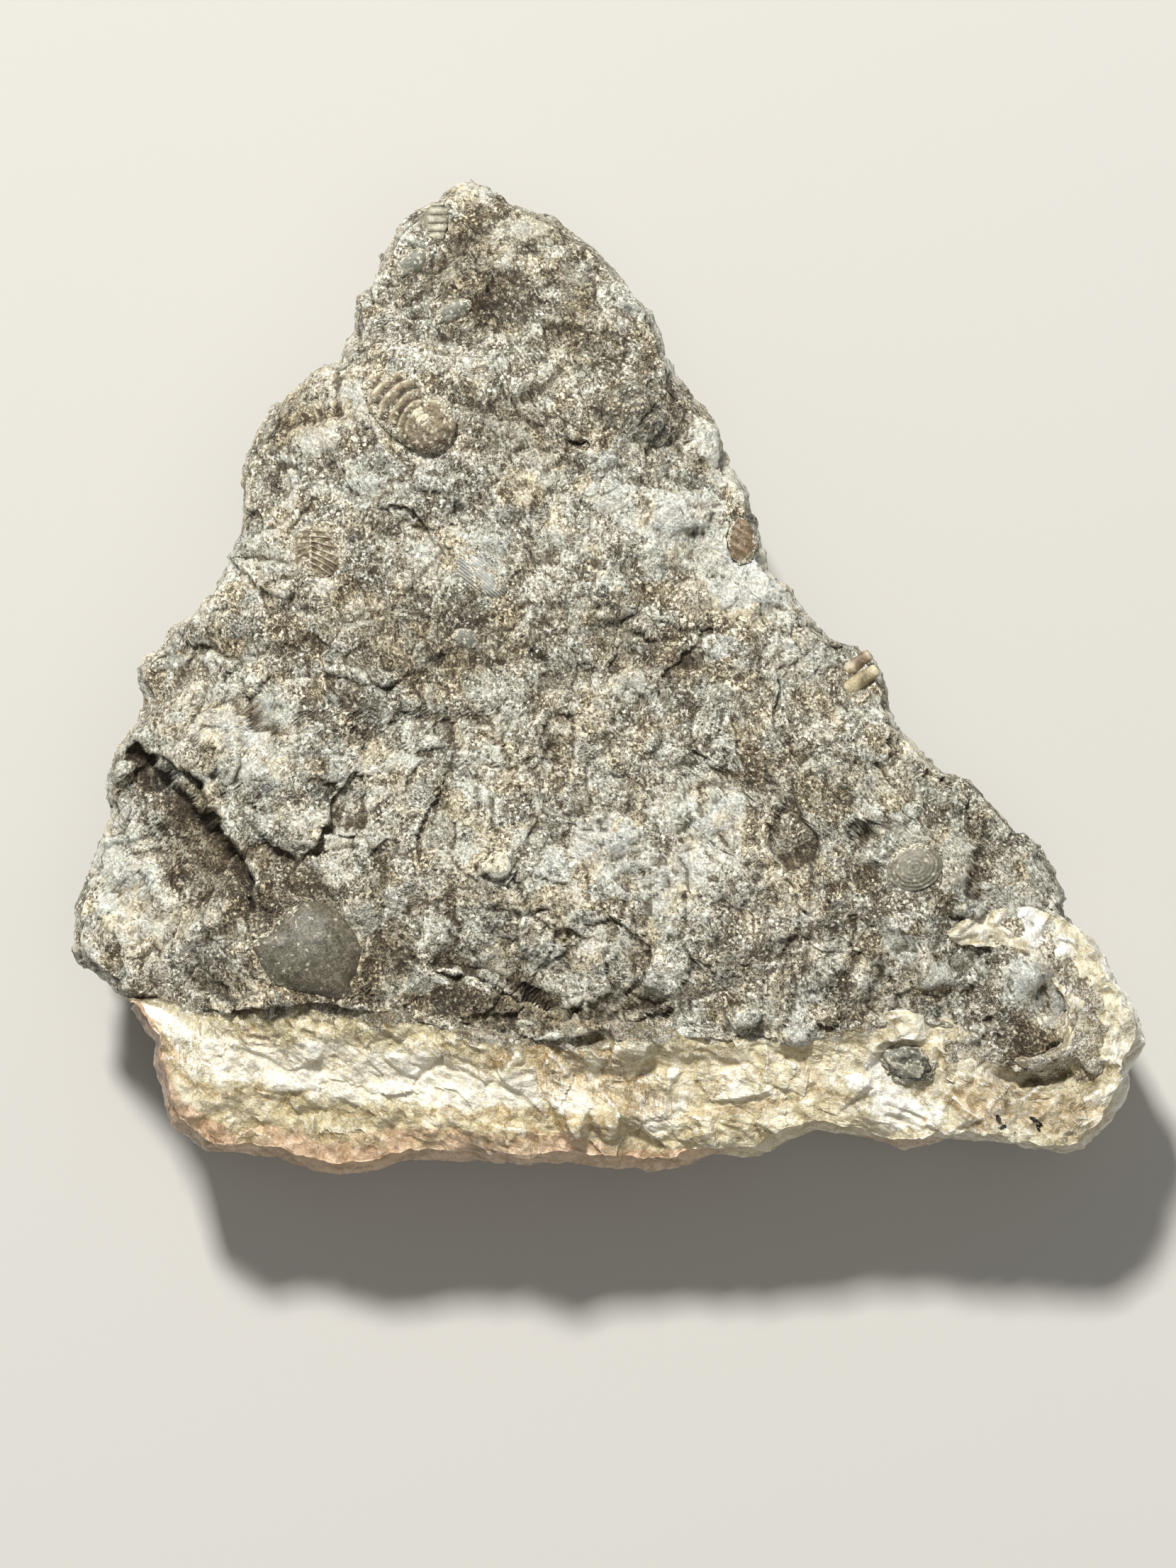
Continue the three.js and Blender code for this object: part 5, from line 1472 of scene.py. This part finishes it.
    def finish(self, *pieces, **sockets):
        for label, value in sockets.items():
            plug(self.surface.inputs[label.replace("_", " ")], value)
        for piece in pieces:
            piece.data.materials.clear()
            piece.data.materials.append(self.material)


print("a screen grey of 128 is", round(linear(128, 128, 128)[0], 3), "in light")


# %% [markdown]
# ## The limestone's finish
#
# Close up the rock is grey-brown paste with grains of clear and white calcite, thousands to a hand's
# breadth, that flash when their faces catch the light. Patterns in noise alone look like fog. Cells
# with a colour and a tilt each look like grains, so cells of five sizes carry the scraps of shell and
# the flecks, and their tilts go into the bump. Bruises are places where nearly every grain is crushed
# white.

# %% Limestone
def limestone_finish():
    made = Finish("limestone_paste")
    mm = made.millimetres()
    bent = made.warp(mm, 0.45, 2.0)
    torn = made.warp(bent, 2.2, 0.45)
    broad = made.noise(mm, 0.11, 3)
    cloud = made.noise(bent, 0.42, 4, 0.65)
    speck = made.noise(made.warp(mm, 1.2, 0.6), 1.5, 5, 0.8)
    sand = made.noise(mm, 3.4, 4, 0.8)
    across, along = made.streaks(torn, 5.2, 0.35)
    patch, patch_other, patch_tilt = made.grains(torn, 0.33)
    chunk, chunk_other, chunk_tilt = made.grains(torn, 0.75)
    tilt = made.grains(made.warp(mm, 2.5, 0.3), 1.8)[2]
    fine_own, fine_other, fine_tilt = made.grains(made.warp(mm, 5, 0.14), 3.4)
    tiny_own = made.grains(made.warp(mm, 6, 0.1), 5.6)[0]
    threads = made.threads(torn, 1.0, 0.03)
    fine_threads = made.threads(mm, 2.4, 0.05, 1.2)
    edge, relief, tone_and_shade_zone, bruise, glassy, brown, shell, shell_tone = made.marks(
        "edge", "relief", "tone_and_shade_zone", "bruise", "glassy", "brown", "shell", "tone")
    tone_and_shade_zone = tone_and_shade_zone - 0.5

    # paste, with shell fragments of two sizes, then the glassy and the brown patches
    tone = cloud * 0.5 + broad * 0.25 + speck * 0.4 + sand * 0.85 - 0.5 + tone_and_shade_zone * 0.15
    colour = made.ramp(tone, (0.28, 58, 50, 37), (0.43, 100, 90, 70), (0.55, 136, 126, 102),
                       (0.72, 188, 180, 154))
    fragments = ((0.0, 84, 72, 52), (0.28, 112, 97, 70), (0.34, 96, 98, 88), (0.52, 120, 122, 110),
                 (0.58, 142, 126, 96), (0.8, 164, 150, 118), (0.86, 186, 182, 166), (1.0, 220, 218, 206))
    for own, other, some, few in ((patch, patch_other, 0.3, 0.74), (chunk, chunk_other, 0.45, 0.78)):
        plain = made.above(other, some, 0.05) * 0.3 + made.above(other, few, 0.01) * 0.35
        colour = made.blend(plain, colour, made.ramp(own, *fragments))
    shells = made.ramp(shell_tone * 0.5 + 0.5, (0.0, 92, 78, 56), (0.35, 108, 104, 88),
                       (0.6, 124, 126, 118), (1.0, 196, 193, 178))
    colour = made.blend(shell * 0.45, colour, shells)
    for place, share, *tones in ((glassy, 0.85, (0.35, 84, 88, 82), (0.6, 132, 136, 129)),
                                 (brown, 0.75, (0.35, 78, 62, 40), (0.62, 134, 114, 82))):
        here = made.above(place + (cloud - 0.5) * 1.4 + (speck - 0.5) * 0.8, 0.3, 0.12)
        colour = made.blend(here * share, colour, made.ramp(speck, *tones))

    # flecks, streaks, threads and rims: the higher the lift, the more of them are white
    calm = made.above(shell * 0.5 + glassy, 0.4, 0.5)
    worn_edge = made.above(edge, 0.54, 0.3)
    lift = bruise * 0.22 + worn_edge * 0.05 + (cloud - 0.5) * 0.35 + (broad - 0.5) * 0.25
    lift = lift - calm * 0.04 + tone_and_shade_zone * 0.11
    white = made.above(speck + lift, 0.62, 0.025)
    fine_white = made.above(sand + lift * 0.9, 0.585, 0.02)
    streak = made.above(across + lift, 0.57, 0.02) + made.above(along + lift, 0.59, 0.02)
    dark_streak = (made.above(0.42 - across - lift * 0.7, 0.0, 0.02)
                   + made.above(0.4 - along - lift * 0.7, 0.0, 0.02))
    dark = made.above(0.42 - speck + (0.5 - cloud) * 0.4, 0.0, 0.03)
    fine_dark = made.above(0.43 - sand - lift * 0.5, 0.0, 0.03)
    dark_grain = made.above(fine_other - lift * 0.9, 0.82, 0.03)
    bright_grain = made.above(fine_own + lift * 0.8, 0.86, 0.02)
    gappy = made.above(sand, 0.42, 0.1)
    patch_rim = 1.0 - made.above(made.border(torn, 0.33), 0.02, 0.02)
    chunk_rim = 1.0 - made.above(made.border(torn, 0.75), 0.04, 0.03)
    rim = patch_rim * made.above(patch_other, 0.66, 0.01) + chunk_rim * made.above(chunk_other, 0.74, 0.01)
    wave = patch_tilt * 42.0 + speck * 5.0
    fibres = made.above(wave.sum("SINE", wave, 0.0), 0.1, 0.4) * made.above(patch_other, 0.87, 0.01)
    colour = made.coats(colour, (dark * 0.7, (46, 40, 29)), (fine_dark * 0.6, (58, 50, 36)),
                        (fine_white * 0.7, (218, 211, 190)),
                        (fine_threads * (0.35 + lift * 1.2), (222, 214, 190)),
                        (dark_grain * 0.6, (58, 51, 38)), (dark_streak * 0.7, (60, 51, 36)),
                        (streak * 0.85, (238, 233, 214)), (white * 0.8, (236, 232, 216)),
                        (bright_grain * 0.8, (246, 243, 230)), (fibres * 0.6, (226, 227, 220)),
                        (rim * gappy * 0.75 + threads * (0.5 + lift * 1.2) * gappy, (242, 238, 222)))
    bruised = made.above(bruise + (cloud - 0.5) * 1.6 + (speck - 0.5) * 1.3, 0.5, 0.2)
    crushed = made.ramp(sand, (0.4, 164, 160, 146), (0.6, 246, 245, 238))
    colour = made.blend(bruised * 0.75, colour, crushed)

    # each grain's own brightness, painted shade in the hollows, the large zones of tone and painted shade,
    # and their hue
    mosaic = made.tint(fine_own * 0.45 + tiny_own * 0.55, (0.1, 0.56, 0.55, 0.53), (0.5, 1, 1, 1),
                       (0.9, 1.42, 1.42, 1.41))
    shaded = made.tint(relief, (0.0, 0.36, 0.31, 0.24), (0.38, 0.84, 0.82, 0.78), (0.54, 1, 1, 1),
                       (1.0, 1.1, 1.1, 1.1))
    zoned_tone_and_shade = made.tint(tone_and_shade_zone + 0.5, (0.0, 0.56, 0.5, 0.41), (0.3, 0.79, 0.765, 0.71), (0.5, 1, 1, 1),
                      (1.0, 1.04, 1.05, 1.06))
    hue = made.tint(patch * 0.45 + chunk * 0.2 + cloud * 0.5, (0.32, 1.06, 0.985, 0.84), (0.56, 1, 1, 0.99),
                    (0.8, 0.95, 1.0, 1.03))
    colour = made.tinted(colour, (0.9 - calm * 0.5, mosaic), (1.0, shaded), (1.0, zoned_tone_and_shade), (0.9, hue))
    # painted shade: creases that lie below their neighbours are coated dark
    painted_crevice_shade = 1.0 - made.above(edge, 0.16, 0.22)
    colour = made.coats(colour, (painted_crevice_shade * 0.55, (54, 44, 30)))
    roughness = 0.74 - white * 0.3 - streak * 0.2 - calm * 0.22
    grit = speck + across * 0.3 + along * 0.3 + sand * 0.6
    normal = made.bumps((chunk_tilt + patch_tilt * 0.5, 0.7, 0.8), (tilt, 0.7, 0.8), (fine_tilt, 0.7, 0.8),
                        (grit, 0.42, 0.9))
    made.finish(limestone, Base_Color=colour, Roughness=roughness, Normal=normal)


limestone_finish()
print("limestone finished")


# %% [markdown]
# ## Calcite
#
# Calcite splits along flat faces, and each crystal has its own shade of cream, white or honey. The way
# a face is turned, kept as a mark when the crystals were made, paints it lighter or darker as if lit
# from one side, and cells of three sizes add tones of their own. A finer comb of stretched noise draws
# the striations. A little light passes under the surface of the real crystals: a small subsurface share
# gives that, and faces turned away from the lamp get a painted warm glow. Hollows are painted darker
# as shade, and raised edges are painted white, partly as split calcite and partly as highlight.

# %% Vein of calcite
def calcite_finish():
    made = Finish("calcite_cream")
    mm = made.millimetres()
    bent = made.warp(mm, 0.4, 1.2)
    torn = made.warp(bent, 2, 0.5)
    comb = made.noise(made.vector("MULTIPLY", mm, (1.0, 0.2, 0.3)), 3.8, 3, 0.75)
    cloud = made.noise(bent, 0.3, 4, 0.65)
    speck = made.noise(mm, 2.0, 5, 0.78)
    sand = made.noise(mm, 5, 3, 0.75)
    across, along = made.streaks(torn, 4.6, 0.4)
    blade = made.vector("MULTIPLY", made.warp(mm, 0.6, 0.5), (1.0, 0.6, 0.7))
    own, _, tilt = made.grains(blade, 0.36)
    border = 1.0 - made.above(made.border(blade, 0.36), 0.01, 0.02)
    chip = made.warp(mm, 2, 0.2)
    fine_own, _, fine_tilt = made.grains(chip, 1.2)
    fine_border = 1.0 - made.above(made.border(chip, 1.2), 0.02, 0.04)
    tiny_own, _, tiny_tilt = made.grains(made.warp(mm, 4, 0.12), 5)
    threads = made.threads(torn, 0.8, 0.025)
    sugar, amber, grey, tan, brown, black, edge, relief, painted_facet_light, crumb_and_shadow, cool, away = made.marks(
        "sugar", "amber", "grey", "tan", "brown", "black", "edge", "relief", "painted_facet_light", "crumb_and_shadow", "cool",
        "away")

    # the crystals' own tones, lighter or darker by painted facet light, and where each of them is found
    wobble = (cloud - 0.5) * 1.4 + (own - 0.5) * 0.5
    shade = painted_facet_light * 0.4 + cloud * 0.25 + own * 0.15 + fine_own * 0.25 + speck * 0.15 - 0.1
    clear = made.ramp(shade, (0.2, 150, 137, 102), (0.4, 188, 177, 140), (0.56, 214, 204, 169),
                      (0.8, 235, 229, 204))
    bright = made.ramp(comb * 0.35 + speck * 0.3 + painted_facet_light * 0.35,
                       (0.34, 221, 215, 190), (0.46, 235, 230, 206), (0.6, 245, 242, 226))
    honey = made.ramp(shade, (0.3, 130, 106, 68), (0.56, 175, 153, 109), (0.82, 214, 198, 160))
    misty = made.ramp(shade, (0.22, 128, 117, 82), (0.45, 168, 158, 120), (0.72, 216, 208, 176))
    peach = made.ramp(shade * 0.7 + speck * 0.2, (0.25, 152, 122, 96), (0.6, 216, 188, 158))
    colour = clear
    for place, edge_at, ease, share, tone in ((sugar + wobble, 0.4, 0.25, 1.0, bright),
                                              (grey + wobble, 0.34, 0.25, 0.9, misty),
                                              (amber + wobble * 0.8, 0.32, 0.2, 0.95, honey),
                                              (tan + wobble * 0.8, 0.34, 0.3, 0.9, honey),
                                              (brown + wobble * 0.4, 0.36, 0.3, 0.95, peach)):
        colour = made.blend(made.above(place, edge_at, ease) * share, colour, tone)
    blade_tint = made.tint(own, (0.0, 0.88, 0.84, 0.76), (0.5, 0.97, 0.96, 0.94), (1.0, 1.05, 1.05, 1.05))
    chip_tint = made.tint(fine_own * 0.65 + tiny_own * 0.35, (0.0, 0.87, 0.86, 0.83),
                          (1.0, 1.08, 1.08, 1.08))
    colour = made.tinted(colour, (0.9 - sugar * 0.5, blade_tint), (0.9, chip_tint))

    # crumbs of limestone, which also paint the shadow under the right block, then the white of split edges,
    # partly painted highlight, threads and crushed spots
    open_part = (1.0 - brown * 0.9) * (0.3 + sugar * 0.7) * (1.0 - amber * 0.6)
    lift = (cloud - 0.5) * 0.4 + (painted_facet_light - 0.5) * 0.12 + sugar * 0.03 - grey * 0.03
    white = made.above(speck + lift, 0.62, 0.04)
    streak = made.above(across + lift, 0.58, 0.03) + made.above(along + lift, 0.59, 0.03)
    shadow = made.above(0.42 - across - lift, 0.0, 0.03) + made.above(0.41 - along - lift, 0.0, 0.03)
    # crumbs of stone; under the right block their dark colour is painted shadow
    crumbs = made.above(crumb_and_shadow + (cloud - 0.5) * 1.5 + (speck - 0.5) * 2.2, 0.62, 0.1)
    stone = made.ramp(sand * 0.5 + tiny_own * 0.3 + fine_own * 0.3,
                      (0.32, 52, 44, 32), (0.54, 94, 84, 64), (0.74, 196, 188, 166))
    striae = made.above(comb, 0.52, 0.05) * sugar
    broken = made.above(speck, 0.48, 0.06)
    lines = threads * (0.3 + grey * 0.5) + border * broken * 0.3 + fine_border * broken * 0.3
    # painted highlight along raised crystal edges, partly the white of split calcite
    split_edge_highlight = made.above(edge + (speck - 0.5) * 0.4, 0.6, 0.2)
    lines = lines * (1.0 - brown * 0.8) + split_edge_highlight * (0.55 - brown * 0.45)
    colour = made.blend(crumbs * 0.85, colour, stone)
    colour = made.coats(colour, (shadow * (0.15 + crumbs * 0.4), (150, 134, 100)),
                        (white * open_part * 0.7, (252, 250, 238)),
                        (streak * (open_part * 0.6 + crumbs * 0.4), (254, 252, 242)),
                        (striae * 0.7, (253, 251, 240)), (lines * (1.0 - crumbs * 0.8), (254, 252, 242)))

    # a cooler tint towards the ends, and a painted warm glow on faces turned away from the lamp
    clean = 1.0 - crumbs
    colour = made.tinted(colour, (cool * clean, (0.94, 0.965, 1.04, 1)),
                         (made.above(away, 0.5, 0.5) * clean, (1.03, 1.0, 0.94, 1)))
    colour = made.coats(colour, (made.above(black + (speck - 0.5) * 1.6, 0.62, 0.1), (38, 36, 32)))
    # painted shade: hollows between the crystals are darkened
    shaded = made.tint(relief, (0.0, 0.74, 0.65, 0.5), (0.4, 0.97, 0.94, 0.88), (0.55, 1, 1, 1),
                       (1.0, 1.05, 1.05, 1.05))
    colour = made.tinted(colour, (1.0, shaded))
    roughness = 0.3 - fine_own * 0.18 - white * 0.05 + crumbs * 0.4 + sugar * 0.08
    grit = comb * 0.4 + speck * 0.5 + across * 0.3 + along * 0.3 + crumbs * (0.5 + speck * 2)
    normal = made.bumps((tilt, 0.3, 0.7), (fine_tilt + tiny_tilt * 0.8, 0.45, 0.75), (grit, 0.24, 0.8))
    made.finish(calcite, Base_Color=colour, Roughness=roughness, Normal=normal, Subsurface_Weight=0.12,
                Subsurface_Radius=(1, 0.8, 0.5), Subsurface_Scale=0.4 * MM)


calcite_finish()
print("calcite finished")


# %% [markdown]
# ## Fossil shell
#
# Fossil shell is the same mineral as the vein, but fine and dense, so it is smooth and faintly
# glossy, brown or slate grey. Its furrows are painted dark as shade and its crests pale as highlights.
# Its crown is painted pale, partly as rubbed stone and partly as a highlight, and its lower side
# darker, partly as shade and partly as brown grit. Where it is worn through, the grains of the stone
# show.

# %% Trilobite, lamp shell and small shells
def shell_finish(name, pieces, dark, body, pale, gloss, flecks=0.9, wear=0.9):
    made = Finish(name)
    mm = made.millimetres()
    cloud = made.noise(mm, 0.7, 4)
    speck = made.noise(mm, 3.2, 4, 0.75)
    own, _, tilt = made.grains(made.warp(mm, 3, 0.15), 3.2)
    fine_own, _, fine_tilt = made.grains(mm, 6)
    threads = made.threads(mm, 1.3, 0.04)
    worn, groove, painted_crown_highlight, rim = made.marks("worn", "groove", "painted_crown_highlight", "rim")
    # painted shade: low furrows darker, raised ribs and bands paler
    tone = cloud * 0.6 + groove * 0.42 + speck * 0.45 - 0.24
    deep = [0.62 * part for part in dark]
    colour = made.ramp(tone, (0.16, *deep), (0.34, *dark), (0.56, *body), (0.9, *pale))
    # the rim: the lower side painted darker, partly as shade and partly as brown grit
    colour = made.blend(rim * 0.55, colour, made.blend(speck, linear(*dark), linear(104, 86, 72)))
    fleck = made.above(own + (cloud - 0.5) * 0.4, flecks, 0.05)
    # painted highlight: a pale patch where the crown mark is high
    patch = made.above(painted_crown_highlight * 1.1 + (cloud - 0.5) * 1.2 + (speck - 0.5) * 1.4, 0.5, 0.3)
    # painted highlight: a thin pale line along the crests
    crest_highlight = made.above(groove, 0.84, 0.14) * made.above(cloud * 0.5 + speck * 0.5, 0.44, 0.1)
    colour = made.coats(colour, (fleck * 0.6, (206, 200, 180)), (patch * 0.7, (222, 215, 190)),
                        (crest_highlight * 0.45 + threads * 0.25, (206, 198, 172)))
    crushed = made.above(worn * 0.9 + fine_own * 0.3 + (cloud - 0.5) * 0.5, 0.6, 0.25)
    grit = made.ramp(fine_own * 0.6 + speck * 0.5, (0.3, 96, 88, 70), (0.5, 150, 142, 120),
                     (0.8, 226, 221, 203))
    colour = made.blend(crushed * wear, colour, grit)
    roughness = gloss + crushed * 0.35 + speck * 0.12
    normal = made.bumps((tilt * (0.4 + worn), 0.3, 0.6), (speck + fine_tilt * 2, 0.08, 0.7))
    made.finish(*pieces, Base_Color=colour, Roughness=roughness, Normal=normal)


# pieces, dark, body and pale colour, gloss, and where given how rare the flecks are and how worn it is
SHELLS = {
    "trilobite_brown": ([large_tail, ribbed_fan], (72, 62, 45), (128, 116, 93), (178, 168, 144), 0.7, 0.84),
    "trilobite_grey": ([small_axis], (84, 80, 66), (134, 131, 114), (206, 202, 186), 0.6, 0.86),
    "trilobite_dark_brown": ([edge_tail, small_shells[1]], (74, 60, 42), (116, 96, 72), (160, 144, 118),
                             0.4, 0.95),
    "trilobite_tan": (small_shells[:1], (104, 92, 64), (150, 136, 102), (192, 180, 146), 0.45, 0.92),
    "lamp_shell_slate": ([lamp_shell], (58, 55, 44), (92, 88, 74), (128, 126, 110), 0.4, 0.955, 0.9),
    "clast_slate": ([clast], (58, 58, 48), (100, 100, 88), (170, 168, 152), 0.4, 0.9, 0.8),
    "small_shell_grey": (small_shells[2:5], (84, 84, 72), (116, 117, 106), (156, 156, 144), 0.42),
    "combed_shell_pale": (small_shells[5:6], (104, 104, 96), (160, 162, 156), (226, 226, 218), 0.42),
    "ringed_shell_grey": (small_shells[6:], (84, 80, 66), (118, 115, 100), (156, 152, 136), 0.42),
}
for name, choices in SHELLS.items():
    shell_finish(name, *choices)
print("materials:", len(bpy.data.materials))


# %% [markdown]
# ## Light and camera
#
# The specimen lies on a plain pale table. One large lamp stands beyond the tip of the triangle, low
# enough to rake across the face and draw every rib and pit, and soft light from all round fills the
# shadows. The camera looks straight down from about a metre, so that the stone keeps its true shape.

# %% Table, lamps and camera
def table():
    half = 3.0
    corners = [(-half, -half, 0), (half, -half, 0), (half, half, 0), (-half, half, 0)]
    mesh = bpy.data.meshes.new("table_top")
    mesh.from_pydata(corners, [], [(0, 1, 2, 3)])
    top = bpy.data.objects.new("table_top", mesh)
    bpy.context.scene.collection.objects.link(top)
    made = Finish("table_pale")
    made.finish(top, Base_Color=linear(186, 184, 178), Roughness=0.9)


def lamp(name, place, aim, size, power, colour=(1, 1, 1)):
    light = bpy.data.lights.new(name, "AREA")
    light.size, light.energy, light.color = size, power, colour
    holder = bpy.data.objects.new(name, light)
    holder.location = place
    holder.rotation_euler = (Vector(aim) - Vector(place)).to_track_quat("-Z", "Y").to_euler()
    bpy.context.scene.collection.objects.link(holder)


table()
lamp("window_light", (-0.3, 0.85, 1.3), (0, 0, 0.02), 0.17, 38, (1, 0.988, 0.972))
lamp("ceiling_light", (0.2, -0.15, 1.35), (0, 0, 0), 0.7, 2)

sky = bpy.data.worlds.new("studio_sky")
sky.use_nodes = True
sky.node_tree.nodes["Background"].inputs["Color"].default_value = (1, 0.985, 0.96, 1)
sky.node_tree.nodes["Background"].inputs["Strength"].default_value = 0.24
bpy.context.scene.world = sky
bpy.context.scene.view_settings.view_transform = "Standard"

PICTURE = (1659, 2212)         # the picture's size in pixels
PIXEL = 0.08 * MM              # what one pixel spans at the height of the specimen's brow
BROW_PLANE = 20 * MM
OBJECT_MIDDLE = (861.5, 956.5)
CAMERA_RISE = 1.1
camera = bpy.data.cameras.new("camera")
camera.sensor_fit = "VERTICAL"
camera.sensor_height = 36
camera.lens = 36 * CAMERA_RISE / (PICTURE[1] * PIXEL)
camera.clip_end = 20
camera_holder = bpy.data.objects.new("camera", camera)
camera_holder.location = (-(OBJECT_MIDDLE[0] - PICTURE[0] / 2) * PIXEL,
                          -(PICTURE[1] / 2 - OBJECT_MIDDLE[1]) * PIXEL, BROW_PLANE + CAMERA_RISE)
bpy.context.scene.collection.objects.link(camera_holder)
bpy.context.scene.camera = camera_holder
print("lens", round(camera.lens), "mm, camera at", [round(v, 3) for v in camera_holder.location])
